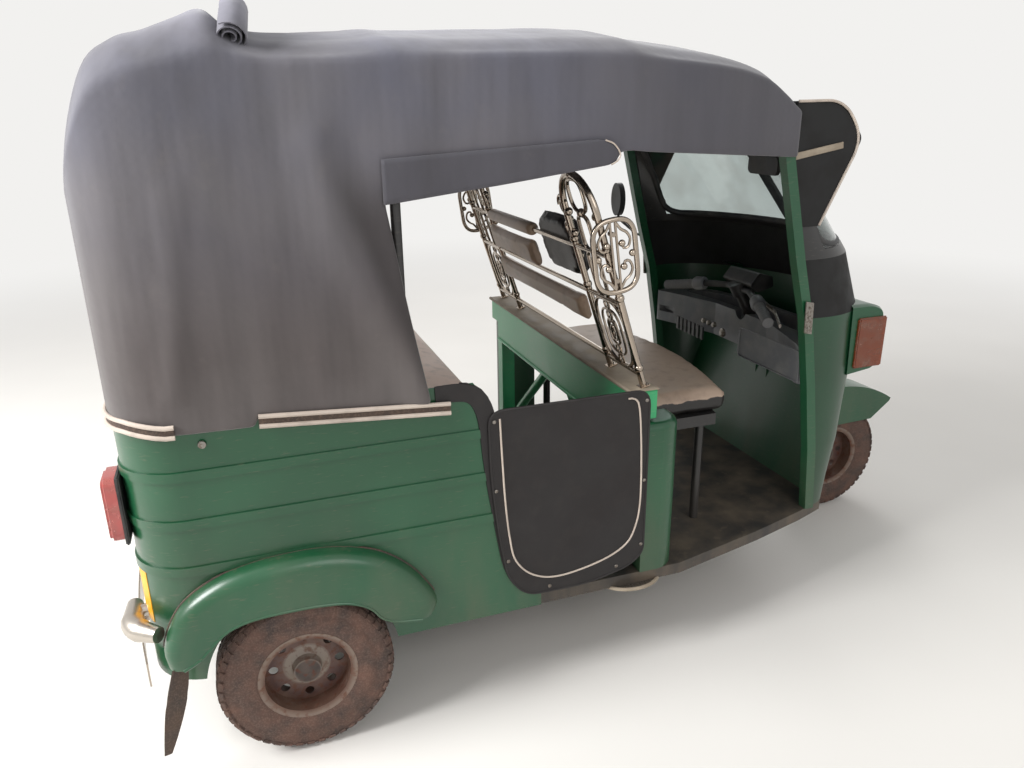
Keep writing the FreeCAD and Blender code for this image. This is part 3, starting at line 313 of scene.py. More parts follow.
def ramp(tree, value, low, high, bottom=0.0, top=1.0, soft=False):
    """A number that goes from bottom at low to top at high."""
    feeds = {"Value": value, "From Min": low, "From Max": high, "To Min": bottom, "To Max": top}
    kind = "SMOOTHSTEP" if soft else "LINEAR"
    return add(tree, "ShaderNodeMapRange", feeds, interpolation_type=kind).outputs[0]


def patches(tree, place, size, low, high, detail=4.0):
    """A mask of patches as large as size in millimetres, 0 below low and 1 above high."""
    cloud = add(tree, "ShaderNodeTexNoise", {"Vector": place, "Scale": 1000 / size, "Detail": detail})
    return ramp(tree, cloud.outputs["Fac"], low, high)


def rising(tree, place, low, high, bottom=1.0, top=0.0):
    """A mask by height in metres: bottom below low, top above high."""
    height = add(tree, "ShaderNodeSeparateXYZ", {0: place}).outputs["Z"]
    return ramp(tree, height, low, high, bottom, top, True)


def between(tree, share, low, high):
    """A number that goes from low to high with the share."""
    return ramp(tree, share, 0.0, 1.0, low, high)


def joined(tree, operation, one, other):
    """Two numbers worked together and kept between 0 and 1."""
    return add(tree, "ShaderNodeMath", {0: one, 1: other}, operation=operation, use_clamp=True).outputs[0]


def times(tree, one, other):
    """Two masks multiplied, or one thinned by a number."""
    return joined(tree, "MULTIPLY", one, other)


def mixed(tree, share, base, over):
    """Base with over on it by the share; each is a hex colour or a socket."""
    base = colour(base) if isinstance(base, str) else base
    over = colour(over) if isinstance(over, str) else over
    return add(tree, "ShaderNodeMix", {0: share, 6: base, 7: over}, data_type="RGBA").outputs[2]


def bumped(tree, shader, height, deep, strength=1.0, under=None):
    """Relief of this depth in millimetres on the shader, over what is already there."""
    feeds = {"Height": height, "Distance": deep / 1000, "Strength": strength}
    if under is not None:
        feeds["Normal"] = under
    relief = add(tree, "ShaderNodeBump", feeds).outputs[0]
    tree.links.new(relief, shader.inputs["Normal"])
    return relief


def bands(tree, place, pitch, direction, **feeds):
    """Straight waves across a direction, each as wide as the pitch in millimetres."""
    feeds = {"Vector": place, "Scale": 1000 / pitch / 20, **feeds}
    return add(tree, "ShaderNodeTexWave", feeds, bands_direction=direction).outputs["Fac"]


def enamel(name, paint, faded, dust, gloss, low=0.22, high=0.72, dusty=0.55):
    """Gloss enamel on pressed steel: faded in clouds, dusty low down, scuffed and slightly rippled."""
    material, tree, shader = surface(name, Coat_Weight=0.25, Coat_Roughness=0.18, IOR=1.5)
    place = placed(tree)
    clouds = patches(tree, place, 320, 0.42, 0.66)
    scuffs = patches(tree, placed(tree, (1, 1, 6)), 30, 0.60, 0.72, 6.0)
    smears = patches(tree, placed(tree, (1, 1, 0.35)), 90, 0.36, 0.72, 7.0)
    dusted = times(tree, times(tree, rising(tree, place, low, high), smears), dusty)
    base = mixed(tree, times(tree, clouds, 0.55), paint, faded)
    base = mixed(tree, times(tree, scuffs, 0.30), base, dust)
    base = mixed(tree, dusted, base, dust)
    worn = joined(tree, "ADD", times(tree, clouds, 0.25), dusted)
    painted(tree, shader, base, between(tree, worn, gloss, 0.85))
    ripple = bumped(tree, shader, patches(tree, place, 70, 0.0, 1.0, 1.0), 0.9, 0.5)
    bumped(tree, shader, scuffs, 0.12, 0.6, ripple)
    return material


def canvas_cloth(name, low_tone, high_tone, faded, bottom, top, front=0.0):
    """Proofed cotton canvas: brown low down, blue-grey on top with painted light on the crown, painted shade
    in front and in the hollow by the doorway, its weave drawn coarse.
    """
    material, tree, shader = surface(name, Roughness=0.88, Sheen_Weight=0.25, Sheen_Roughness=0.5)
    place = placed(tree)
    clouds = patches(tree, place, 260, 0.36, 0.70, 5.0)
    streaks = patches(tree, placed(tree, (1, 1, 0.14)), 60, 0.40, 0.72, 4.0)
    grime = patches(tree, place, 45, 0.62, 0.80, 5.0)
    base = mixed(tree, rising(tree, place, bottom, top, 0.0, 1.0), low_tone, high_tone)
    # Painted light: the roof's crown is lightened to pale blue-grey, as if lit from above
    base = mixed(tree, rising(tree, place, top + 0.02, top + 0.12, 0.0, 0.8), base, "8d8c99")
    base = mixed(tree, times(tree, clouds, 0.40), base, faded)
    base = mixed(tree, times(tree, streaks, 0.28), base, "2f2c2c")
    base = mixed(tree, times(tree, grime, 0.10), base, "857d76")
    # Painted shade: the canvas darkens towards the front, by the share given as front
    forward = add(tree, "ShaderNodeSeparateXYZ", {0: place}).outputs["X"]
    shaded = ramp(tree, forward, -0.45, 0.25)
    base = mixed(tree, times(tree, shaded, front), base, "444248")
    # Painted shade in the hollow between the broad fold and the doorway
    across_fold = {0: place, 1: (1, 0, 0.377)}
    past_fold = add(tree, "ShaderNodeVectorMath", across_fold, operation="DOT_PRODUCT").outputs["Value"]
    hollow_shade = times(tree, ramp(tree, past_fold, -0.285, -0.235, soft=True), rising(tree, place, 1.24, 1.40))
    painted(tree, shader, mixed(tree, times(tree, hollow_shade, front), base, "2e2929"))
    thread = {"Distortion": 0.6, "Detail": 1.0}
    woven = times(tree, bands(tree, place, 3.6, "X", **thread), bands(tree, place, 3.6, "Z", **thread))
    creases = patches(tree, placed(tree, (1, 1, 0.4)), 120, 0.2, 0.8, 3.0)
    soft = bumped(tree, shader, creases, 5.0, 0.5)
    bumped(tree, shader, woven, 0.5, 0.35, soft)
    return material


def torn_band(tree, place, height):
    """A mask that is 1 below a ragged line at this height in metres."""
    ragged = add(tree, "ShaderNodeTexNoise", {"Vector": place, "Scale": 30.0, "Detail": 6.0}).outputs["Color"]
    tug = {0: ragged, 1: (0.016, 0.016, 0.016)}
    pulled = add(tree, "ShaderNodeVectorMath", tug, operation="MULTIPLY").outputs[0]
    torn = add(tree, "ShaderNodeVectorMath", {0: place, 1: pulled}, operation="ADD").outputs[0]
    return rising(tree, torn, height, height + 0.003)


def vinyl(name, tone, worn, rough, band=None):
    """Coated cloth with a pressed leather grain, rubbed paler in use; below a band it is black."""
    material, tree, shader = surface(name, Coat_Weight=0.08, IOR=1.5)
    place = placed(tree)
    rubbed = patches(tree, place, 150, 0.40, 0.68, 4.0)
    soiled = patches(tree, place, 35, 0.52, 0.72, 5.0)
    base = mixed(tree, times(tree, rubbed, 0.6), tone, worn)
    base = mixed(tree, times(tree, soiled, 0.22), base, "2b2522")
    if band:
        base = mixed(tree, torn_band(tree, place, band), base, "1b1918")
    painted(tree, shader, base, between(tree, rubbed, rough, rough + 0.14))
    pebbles = add(tree, "ShaderNodeTexVoronoi", {"Vector": place, "Scale": 1000 / 1.8}, feature="SMOOTH_F1")
    creased = patches(tree, placed(tree, (1, 0.5, 1)), 45, 0.25, 0.75, 6.0)
    soft = bumped(tree, shader, creased, 1.6, 0.5)
    bumped(tree, shader, pebbles.outputs["Distance"], 0.25, 0.5, soft)
    return material


def plated(name, tone, rough, pitted, pit_tone="6d6257"):
    """Bright plating, pitted and dulled in spots."""
    material, tree, shader = surface(name, Metallic=1.0)
    place = placed(tree)
    pits = patches(tree, place, 7, pitted, pitted + 0.08, 6.0)
    dull = patches(tree, place, 60, 0.4, 0.7, 4.0)
    hazed = joined(tree, "ADD", times(tree, dull, 0.25), pits)
    base = mixed(tree, times(tree, pits, 0.7), tone, pit_tone)
    painted(tree, shader, base, between(tree, hazed, rough, 0.6))
    bumped(tree, shader, pits, 0.1, 0.4)
    return material


def rubber(name, tone, dust, centre):
    """Carbon black rubber, brown with road dust, with fine rings moulded round the axle on its sidewalls."""
    material, tree, shader = surface(name, IOR=1.5)
    round_axle = placed(tree, (1, 0, 1), centre)
    place = placed(tree)
    rings = add(tree, "ShaderNodeTexWave", {"Vector": round_axle, "Scale": 1000 / 9 / 20, "Distortion": 0.2},
                wave_type="RINGS", rings_direction="SPHERICAL")
    dusty = patches(tree, place, 48, 0.34, 0.72, 6.0)
    fine = patches(tree, place, 4, 0.45, 0.70, 3.0)
    base = mixed(tree, times(tree, dusty, 0.75), tone, dust)
    base = mixed(tree, times(tree, fine, 0.25), base, "8d7868")
    painted(tree, shader, base, between(tree, dusty, 0.72, 0.95))
    soft = bumped(tree, shader, rings.outputs["Fac"], 0.5, 0.35)
    bumped(tree, shader, fine, 0.3, 0.5, soft)
    return material


WHEEL_TONES = ((0.0, "3d302b"), (0.24, "2c2320"), (0.30, "84796f"), (0.44, "8f857b"), (0.50, "553c36"),
               (0.74, "4a3330"), (0.88, "573b2e"), (0.96, "75655a"))
RIM_RADIUS = 0.116


def wheel_paint(name, centre):
    """Brown wheel enamel, rusted where the stones hit and rubbed pale in a ring by the hub."""
    material, tree, shader = surface(name, IOR=1.5)
    place = placed(tree)
    from_axle = {0: placed(tree, (1, 0, 1), centre)}
    reach = add(tree, "ShaderNodeVectorMath", from_axle, operation="LENGTH").outputs["Value"]
    tones = add(tree, "ShaderNodeValToRGB", {"Fac": ramp(tree, reach, 0.0, RIM_RADIUS)})
    for stop, _ in WHEEL_TONES[2:]:
        tones.color_ramp.elements.new(stop)
    for element, (stop, code) in zip(tones.color_ramp.elements, WHEEL_TONES):
        element.position = stop
        element.color = colour(code)
    rust = patches(tree, place, 16, 0.50, 0.66, 7.0)
    dust = patches(tree, place, 55, 0.40, 0.70, 4.0)
    base = mixed(tree, times(tree, rust, 0.65), tones.outputs[0], "5d3320")
    base = mixed(tree, times(tree, dust, 0.35), base, "7d6a5c")
    painted(tree, shader, base, between(tree, rust, 0.55, 0.9))
    bumped(tree, shader, rust, 0.4, 0.6)
    return material


def moulded(name, tone, rough, speck="77736e", dusty=0.3):
    """Moulded plastic or matt paint with a fine grain and settled dust."""
    material, tree, shader = surface(name, IOR=1.46)
    place = placed(tree)
    dust = patches(tree, place, 60, 0.42, 0.72, 6.0)
    fine = {"Vector": place, "Scale": 1000 / 1.6, "Detail": 2.0}
    grain = add(tree, "ShaderNodeTexNoise", fine).outputs["Fac"]
    base = mixed(tree, times(tree, dust, dusty), tone, speck)
    painted(tree, shader, base, between(tree, dust, rough, rough + 0.25))
    bumped(tree, shader, grain, 0.15, 0.4)
    return material


def lens(name, tone, rough, ribs, density):
    """Moulded clear plastic with optic ribs behind a smooth face."""
    material, tree, shader = surface(name, Transmission_Weight=density, IOR=1.49, Coat_Weight=0.4)
    place = placed(tree)
    grime = patches(tree, place, 30, 0.45, 0.75, 5.0)
    base = mixed(tree, times(tree, grime, 0.3), tone, "8d8274")
    painted(tree, shader, base, between(tree, grime, rough, rough + 0.25))
    bumped(tree, shader, bands(tree, place, ribs, "Z"), 1.0, 0.5)
    return material


def pane(name, tone, rough, dirt):
    """Laminated glass with a thin film of dirt."""
    material, tree, shader = surface(name, Transmission_Weight=1.0, IOR=1.45)
    film = patches(tree, placed(tree, (1, 1, 0.5)), 120, 0.40, 0.75, 5.0)
    base = mixed(tree, times(tree, film, dirt), tone, "8a8b86")
    painted(tree, shader, base, between(tree, film, rough, rough + 0.2))
    return material


GREEN = enamel("brushed_green_enamel", "10482b", "215a3b", "645f4e", 0.28, dusty=0.40)
GREEN_TRIM = enamel("darker_green_enamel", "104a2c", "225a3a", "5e5d4c", 0.32, dusty=0.40)
# Painted shade: a darker copy of the body green for the front shield, standing for its shaded side
SHADED_NOSE_GREEN = enamel("green_enamel_painted_in_shade", "0a3a20", "15492d", "3f4437", 0.36, dusty=0.25)
# Painted light: a lighter copy of the body green for the bulkhead beam, its stays and ends, as if lit
LIT_BEAM_GREEN = enamel("pale_lit_green_enamel", "2fa368", "49b47c", "8c9a7a", 0.34, dusty=0.15)
BLACK = enamel("satin_black_enamel", "1b1a1a", "2b2928", "5c544c", 0.42, 0.15, 0.6, 0.5)
FLOOR_PAINT = enamel("scuffed_floor_enamel", "272423", "3d3833", "6f6252", 0.65, 0.1, 0.9, 0.8)
CANVAS = canvas_cloth("faded_black_canvas", "554e4d", "5d5d68", "6f6a68", 0.95, 1.55, 0.75)
FLAP_CANVAS = canvas_cloth("newer_black_canvas", "47454b", "49484f", "55535a", 1.20, 1.50)
SEAT_VINYL = vinyl("pinkish_tan_vinyl", "dcbca8", "e6cfc0", 0.42)
DRIVER_VINYL = vinyl("brown_seat_vinyl", "a8917f", "b8a28f", 0.45, 0.680)
BINDING = vinyl("dark_brown_binding_vinyl", "100b0c", "1b1515", 0.62)
BLACK_VINYL = vinyl("black_seat_vinyl", "1d1b1b", "35302e", 0.40)
PAD_VINYL = vinyl("grey_brown_pad_vinyl", "b59b86", "c6b096", 0.42)
PIPING = vinyl("cream_plastic_piping", "b9ab9f", "d3c6b8", 0.35)
CHROME = plated("pitted_chrome", "a89c8f", 0.16, 0.66, "5b5046")
DULL_CHROME = plated("scratched_dull_chrome", "b9b2a9", 0.32, 0.70, "7c7268")
STEEL = plated("dull_zinc_steel", "8b8680", 0.38, 0.50)
ALLOY = plated("oily_cast_alloy", "77716a", 0.50, 0.45, "2c2722")
PLASTIC = moulded("black_moulded_plastic", "1f1f21", 0.45)
DASH_PLASTIC = moulded("dusty_dash_plastic", "66676b", 0.42, "97958f", 0.5)
NOSE_BLACK = moulded("matt_black_nose_paint", "0b0b0c", 0.66, "2f2c2a")
GRIP_RUBBER = moulded("grey_grip_rubber", "6a6a6b", 0.6)
SEAL_RUBBER = moulded("windscreen_seal_rubber", "232427", 0.5)
FLAP_RUBBER = rubber("mud_flap_rubber", "3a302b", "5d4c41", (0, 0, 0))
YELLOW = moulded("yellow_reflector_film", "eda928", 0.35, "b39a55")
LEDGE = moulded("dusty_cream_ledge", "8f8271", 0.6, "b8ab98", 0.7)
PEARL = moulded("pale_reflector_backing", "c9c2b6", 0.3)
CLEAR_LENS = lens("fluted_clear_lens", "f2f2ee", 0.04, 9, 0.9)
AMBER_LENS = lens("amber_lens", "8a3a0a", 0.12, 7, 0.4)
RED_LENS = lens("red_lens", "c85f5a", 0.14, 7, 0.4)
GLASS = pane("smoky_windscreen_glass", "b9c4c2", 0.03, 0.5)

FINISHES = {
    "green_paint": GREEN, "black_paint": BLACK, "canvas": CANVAS, "tan_vinyl": SEAT_VINYL,
    "black_vinyl": BLACK_VINYL, "brown_vinyl": PAD_VINYL, "chrome": CHROME, "glass": GLASS,
    "lamp_clear": CLEAR_LENS, "lamp_amber": AMBER_LENS, "lamp_red": RED_LENS, "black_plastic": PLASTIC,
    "steel": STEEL, "alloy": ALLOY, "flap_rubber": FLAP_RUBBER, "mirror_back": PLASTIC}
# The bulkhead takes the green painted lighter as if lit, and the front shield the green painted darker as if
# in shade
OWN_FINISH = {
    "dash": DASH_PLASTIC, "floor_pan": FLOOR_PAINT, "side_bulges": GREEN_TRIM, "door_posts": GREEN_TRIM,
    "headlamp_pods": GREEN_TRIM, "seat_stand": BLACK, "bulkhead": LIT_BEAM_GREEN, "toe_board": GREEN_TRIM,
    "front_shield": SHADED_NOSE_GREEN, "cowl": NOSE_BLACK, "foot_step": STEEL}

RIGHT_REAR_AXLE = (REAR_AXLE[0], -REAR_AXLE[1], REAR_AXLE[2])
WHEELS = {"left": REAR_AXLE, "right": RIGHT_REAR_AXLE, "front": FRONT_AXLE}
WHEEL_NODES = {"left": "rear_wheel_left", "right": "rear_wheel_right", "front": "front_wheel"}
TYRE_NODES = {"left": "rear_tyre_left", "right": "rear_tyre_right", "front": "front_tyre"}
for side, centre in WHEELS.items():
    OWN_FINISH[WHEEL_NODES[side]] = wheel_paint(f"{side}_wheel_enamel", centre)

for name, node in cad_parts.items():
    for held in node.material_slots:
        if name in OWN_FINISH:
            held.material = OWN_FINISH[name]
        elif held.material.name in FINISHES:
            held.material = FINISHES[held.material.name]


# Hood
def hood_size(x, column):
    """One of the hood's measures at x, eased between the stations without overshoot."""
    places = [row[0] for row in HOOD]
    sizes = [row[column] for row in HOOD]
    x = min(max(x, places[0]), places[-1])
    i = min(max(j for j in range(len(places)) if places[j] <= x), len(places) - 2)
    slopes = [(sizes[j + 1] - sizes[j]) / (places[j + 1] - places[j]) for j in range(len(places) - 1)]

    def slope_at(j):
        if j in (0, len(places) - 1):
            return slopes[min(j, len(slopes) - 1)]
        before, after = slopes[j - 1], slopes[j]
        return 0 if before * after <= 0 else 2 * before * after / (before + after)

    span = places[i + 1] - places[i]
    t = (x - places[i]) / span
    return eased(t, sizes[i], sizes[i + 1], slope_at(i) * span, slope_at(i + 1) * span)


def eased(t, start, end, leaving, arriving):
    """A value between start and end that leaves and arrives with these slopes."""
    return (start * (2 * t ** 3 - 3 * t ** 2 + 1) + leaving * (t ** 3 - 2 * t ** 2 + t)
            + end * (3 * t ** 2 - 2 * t ** 3) + arriving * (t ** 3 - t ** 2))


def stepped(x, rows):
    """The height at x on a line of straight runs."""
    if x <= rows[0][0]:
        return rows[0][1]
    for (x0, z0), (x1, z1) in zip(rows, rows[1:]):
        if x <= x1:
            return z0 + (z1 - z0) * (x - x0) / (x1 - x0)
    return rows[-1][1]


# Lower edge of the canvas: over the doorways, and along the tub with its hanging patch
RIGHT_DOOR = ((-900, 1297), (-665, 1297), (-180, 1350), (-120, 1381), (-58, 1374), (447, 1342))
LEFT_DOOR = ((-900, 1297), (-650, 1385), (447, 1342))
SKIRT = ((-1262, 880), (-1225, 880), (-1152, 868), (-1146, 846), (-967, 843), (-961, 869), (-545, 842))
REAR_COLUMNS = (-1262, -1254, -1245, -1232, -1215, -1195, -1172, -1152, -1146)
PATCH_END = (-967, -961)
DOOR_FOOT = -589
LOWER_ROWS, UPPER_ROWS, ROOF_ROWS = 21, 11, 52
BACK_SHARES = (0, 0.13, 0.27, 0.40, 0.536, 0.67, 0.80, 0.92)


def hood_ring(x):
    """Points of the hood's cross-section near x, from the right skirt over the roof to the left skirt."""
    lean = (x + 1262) / (DOOR_FOOT + 1262) if x < DOOR_FOOT else max(0, 1 - (x - DOOR_FOOT) / 480)
    wall = [("low", k / LOWER_ROWS) for k in range(LOWER_ROWS + 1)]
    wall += [("high", k / UPPER_ROWS) for k in range(1, UPPER_ROWS + 1)]
    rows = [(-1, part, t) for part, t in wall]
    rows += [(0, "roof", k / ROOF_ROWS) for k in range(1, ROOF_ROWS)]
    rows += [(1, part, t) for part, t in wall[::-1]]
    foot = stepped(x, SKIRT)
    ring = []
    for sign, part, t in rows:
        if part == "roof":
            ahead = x + lean * (-68.5 + (1 - 2 * t) * -7.5)
            half = HOOD_HALF * hood_size(ahead, 1)
            top, edge = HOOD_TOP - hood_size(ahead, 2), HOOD_TOP - hood_size(ahead, 3)
            share = math.sin(math.pi * (t - 0.5)) * 0.35 + (2 * t - 1) * 0.65
            ring.append(at(ahead, half * share, roof_height(abs(share), top, edge, hood_size(ahead, 4))))
            continue
        door, shift = (RIGHT_DOOR, -76) if sign < 0 else (LEFT_DOOR, -61)
        ahead = x + lean * shift * (t if part == "low" else 1)
        half = HOOD_HALF * hood_size(ahead, 1)
        edge = HOOD_TOP - hood_size(ahead, 3)
        line = min(stepped(ahead, door), edge - 10)
        height = foot + (line - foot) * t if part == "low" else line + (edge - line) * t
        ring.append(at(ahead, sign * half, height))
    return ring


def roof_height(share, top, edge, drop):
    """Height of the roof at a share of its half width: crown, haunch at 0.86 and shoulder at 1."""
    rows = ((0, top), (0.45, top - 0.25 * drop), (0.86, top - drop), (1, edge))
    fall = top - drop - edge
    slopes = (0, -0.9 * drop, -fall * 1.2 - drop, -fall / 0.14 * 1.35)
    for i in range(3):
        (x0, z0), (x1, z1) = rows[i], rows[i + 1]
        if share <= x1:
            span = x1 - x0
            return eased((share - x0) / span, z0, z1, slopes[i] * span, slopes[i + 1] * span)
    return edge


def groove(place, line, width):
    """How near a place on the side is to a line of x and z, 1 on it and 0 beyond the width."""
    spot = Vector((place.x * 1000, place.z * 1000))
    best = width
    for start, end in zip(line, line[1:]):
        start, end = Vector(start), Vector(end)
        run = end - start
        t = min(1, max(0, (spot - start).dot(run) / run.length_squared))
        best = min(best, (spot - start - run * t).length)
    return (1 - best / width) ** 2 * (1 + 2 * best / width)


BOWS = (-1120, -640, -100, 412)
BROAD_FOLD = ((-800, 1400), (-770, 1250), (-708, 1116), (-640, 960), (-600, 870))
BESIDE_FOLD = tuple((x + 62, z) for x, z in BROAD_FOLD)
PLEATS = (((-1080, 1330), (-1098, 1110), (-1123, 926)), ((-1050, 1340), (-1080, 1110), (-1107, 924)))
SIDE_FOLD = ((-985, 1420), (-940, 1200), (-930, 900))


def hood_relief(place, out):
    """How far the canvas stands off its smooth shape, in millimetres: bows, sag, folds and soft wrinkles."""
    x = place.x * 1000
    if out.z > 0.5:
        behind = [bow for bow in BOWS if bow <= x]
        ahead = [bow for bow in BOWS if bow > x]
        start = behind[-1] if behind else BOWS[0]
        end = ahead[0] if ahead else 447
        t = (x - start) / max(1, end - start)
        relief = -7 * math.sin(math.pi * min(1, max(0, t))) ** 2 * out.z
        relief += 5 * math.exp(-min(abs(x - bow) for bow in BOWS) ** 2 / 400)
        relief += 4 * noise.noise(Vector((place.x * 5, place.y * 3, 0.5)))
    else:
        relief = 3.5 * noise.noise(Vector((place.x * 7, place.y, place.z * 1.6)))
        relief += 1.6 * noise.noise(Vector((place.x * 16, place.y, place.z * 3)))
    if place.y < 0 and out.y < -0.5:
        folds = ((BROAD_FOLD, 11, 70), (BESIDE_FOLD, -6, 60), (SIDE_FOLD, 4, 70),
                 (PLEATS[0], 4, 22), (PLEATS[1], 4, 22))
        relief += sum(high * groove(place, line, width) for line, high, width in folds)
    return min(13, max(-5, relief))


def hood_columns():
    """Where the hood's rings stand, closer at the tail and at the patch's end."""
    start = REAR_COLUMNS[-1]
    rear = [start + (DOOR_FOOT - start) * k / 30 for k in range(1, 31)]
    rear = sorted([x for x in rear if abs(x + 964) > 9] + list(PATCH_END))
    front = [DOOR_FOOT + (447 - DOOR_FOOT) * k / 43 for k in range(1, 44)]
    return list(REAR_COLUMNS) + rear + front


def make_hood():
    """The whole canvas as one sheet: rear face, quarters, roof and the band over the doorways."""
    columns = hood_columns()
    rings = [hood_ring(x) for x in columns]
    back = []
    for share in BACK_SHARES:
        bulge = 0.010 * (1 - share ** 2)
        back.append([Vector((place.x - bulge, place.y * share, place.z)) for place in rings[0]])
    mesh = bmesh.new()
    rows = [[mesh.verts.new(place) for place in ring] for ring in back + rings]
    count = len(rows[0])
    door_row = columns.index(DOOR_FOOT) + len(BACK_SHARES)
    for j in range(len(rows) - 1):
        for i in range(count - 1):
            from_foot = i if i < count / 2 else count - 2 - i
            doorway = j >= door_row and from_foot < LOWER_ROWS
            rear_window = j < 4 and 10 <= from_foot < LOWER_ROWS
            if not doorway and not rear_window:
                mesh.faces.new((rows[j][i], rows[j][i + 1], rows[j + 1][i + 1], rows[j + 1][i]))
    loose = [vert for vert in mesh.verts if not vert.link_faces]
    bmesh.ops.delete(mesh, geom=loose, context="VERTS")
    bmesh.ops.remove_doubles(mesh, verts=mesh.verts, dist=0.0004)
    bmesh.ops.recalc_face_normals(mesh, faces=mesh.faces)
    mesh.normal_update()
    middle = at(-500, 0, 1200)
    facing = sum((face.normal.dot(face.calc_center_median() - middle) > 0) for face in mesh.faces)
    if facing < len(mesh.faces) / 2:
        bmesh.ops.reverse_faces(mesh, faces=mesh.faces)
        mesh.normal_update()
    moves = [(vert, vert.normal * hood_relief(vert.co, vert.normal) / 1000) for vert in mesh.verts]
    for vert, move in moves:
        vert.co += move
    area = sum(face.calc_area() for face in mesh.faces)
    for face in mesh.faces:
        face.smooth = True
    data = bpy.data.meshes.new("hood_canvas")
    mesh.to_mesh(data)
    mesh.free()
    made = bpy.data.objects.new("hood_canvas", data)
    scene.collection.objects.link(made)
    thickened(made, 0.0035, -1)
    smoothed(made)
    fitted(made, CANVAS, ["canopy"])


def thickened(made, thickness, offset):
    """Gives cloth its thickness in metres."""
    thick = made.modifiers.new("cloth", "SOLIDIFY")
    thick.thickness = thickness
    thick.offset = offset


def smoothed(made):
    """Divides a surface once more."""
    smooth = made.modifiers.new("smooth", "SUBSURF")
    smooth.levels = 1
    smooth.render_levels = 1


make_hood()


# Stuffed pieces
SEAT_FLOOR, TRAY_FLOOR = 0.6555, 0.6285
CLOTH_FRAMES = 20
PRESSURE = 4.0


def blown_up(made, start, cap):
    """Swells a mesh with cloth under pressure, each point moved by the cap in millimetres at most."""
    cloth = made.modifiers.new("cloth", "CLOTH")
    cloth.settings.use_pressure = True
    cloth.settings.uniform_pressure_force = PRESSURE
    cloth.settings.effector_weights.gravity = 0
    cloth.settings.quality = 4
    cloth.point_cache.frame_start = 1
    cloth.point_cache.frame_end = CLOTH_FRAMES
    for step in range(1, CLOTH_FRAMES + 1):
        scene.frame_set(step)
    swollen = bpy.data.meshes.new_from_object(made.evaluated_get(bpy.context.evaluated_depsgraph_get()))
    made.modifiers.remove(cloth)
    for vert, moved in zip(start.vertices, swollen.vertices):
        move = moved.co - vert.co
        if move.length > cap / 1000:
            move = move.normalized() * cap / 1000
        vert.co += move
    bpy.data.meshes.remove(swollen)
    scene.frame_set(1)


def stuffed(name, mesh, voxel, cap, material, covers=(), floor=None):
    """A padded piece: a closed form on an even grid, swollen by cloth, resting on the floor's height."""
    made = bare(name, mesh)
    remesh = made.modifiers.new("grid", "REMESH")
    remesh.mode = "VOXEL"
    remesh.voxel_size = voxel
    bpy.context.view_layer.update()
    start = bpy.data.meshes.new_from_object(made.evaluated_get(bpy.context.evaluated_depsgraph_get()))
    made.modifiers.remove(remesh)
    made.data = start
    blown_up(made, start, cap)
    if floor is not None:
        for vert in start.vertices:
            vert.co.z = max(vert.co.z, floor)
    for polygon in start.polygons:
        polygon.use_smooth = True
    smoothed(made)
    fitted(made, material, covers)


BACKREST = ((-1020, 662), (-1100, 1180), (-1150, 1180), (-1112, 662))
DRIVER_BACKREST = ((-342, 241), (-70, 241), (-70, 432), (-342, 432))
BAR_PADS = (("partition_bar_pad", -340, 144, 223), ("partition_upper_pad", -56, 248, 335))
ROLL_PAD = ((-56, 15), (-42, 20), (60, 20), (150, 20), (240, 20), (326, 20), (340, 15))


def make_seats():
    """The benches, the backrests and the padded bars of the partition."""
    bench = block((-998, -574, 660), (-390, 574, 768), 18)
    stuffed("bench_cushion", bench, 0.011, 14, SEAT_VINYL, ["passenger_cushion"],
            SEAT_FLOOR)
    back = slab(along(-530, BACKREST), Vector((0, 1.06, 0)), 0.02, 3)
    stuffed("bench_backrest", back, 0.011, 12, SEAT_VINYL, ["passenger_backrest"],
            SEAT_FLOOR)
    bow = [at(410 - 75 * (y / 423) ** 2, y, 633) for y in range(-423, 424, 47)]
    seat = slab([at(62, -423, 633)] + bow + [at(62, 423, 633)], Vector((0, 0, 0.058)), 0.012, 3)
    stuffed("driver_bench_cushion", seat, 0.007, 10, DRIVER_VINYL, ["driver_cushion"],
            TRAY_FLOOR)
    oval_form = bent([on_partition(11, y, w) for y, w in DRIVER_BACKREST], 0.090, True)
    rest = slab(oval_form, on_partition(41, 0, 0) - on_partition(11, 0, 0), 0.012, 3)
    stuffed("driver_backrest_pad", rest, 0.005, 8, BLACK_VINYL, ["driver_backrest"])
    for name, start, foot, top in BAR_PADS:
        outline = [on_partition(a, start, w) for a, w in ((-22, foot), (0, foot), (0, top), (-22, top))]
        bar = slab(outline, Vector((0, (340 - start) / 1000, 0)), 0.007, 3)
        stuffed(name, bar, 0.005, 6, PAD_VINYL)
    line = [on_partition(0, y, PARTITION_RAILS[2]) for y, _ in ROLL_PAD]
    roll = swept(line, circle(1, 20), sizes=[size for _, size in ROLL_PAD])
    stuffed("partition_roll_pad", roll, 0.005, 4, PAD_VINYL, ["partition_pads"])


make_seats()


CURTAIN_ROUTE = ((-925, -572, 1600), (-915, -490, 1650), (-905, -260, 1672), (-905, 0, 1684),
                 (-905, 260, 1672), (-915, 490, 1650), (-925, 572, 1600))


def make_curtain_roll():
    """The rolled curtain on the roof: cloth wound on itself, seen as a spiral at its ends."""
    def wound(core, k):
        """A point of the spiral, its cloth as thick as the difference of two cores."""
        turn = 2 * math.pi * 2.6 * k / 52
        reach = core + 24 * k / 52
        return reach * math.cos(turn), reach * math.sin(turn)

    section = [wound(9, k) for k in range(53)] + [wound(6.5, k) for k in range(52, -1, -1)]
    path = flowing([at(*place) for place in CURTAIN_ROUTE], 0.03)
    wrap = swept(path, section, FORWARDS)
    roll = piece("rolled_curtain", wrap, CANVAS, ["curtain_roll"], sharp=60)


make_curtain_roll()


# Tyres
TREE_INPUTS = (("Blocks", "Int"), ("Radius", "Float"), ("Lean", "Float"), ("Across", "Float"),
               ("Phase", "Float"), ("Block size", "Vector"), ("Wheel centre", "Vector"),
               ("Material", "Material"))


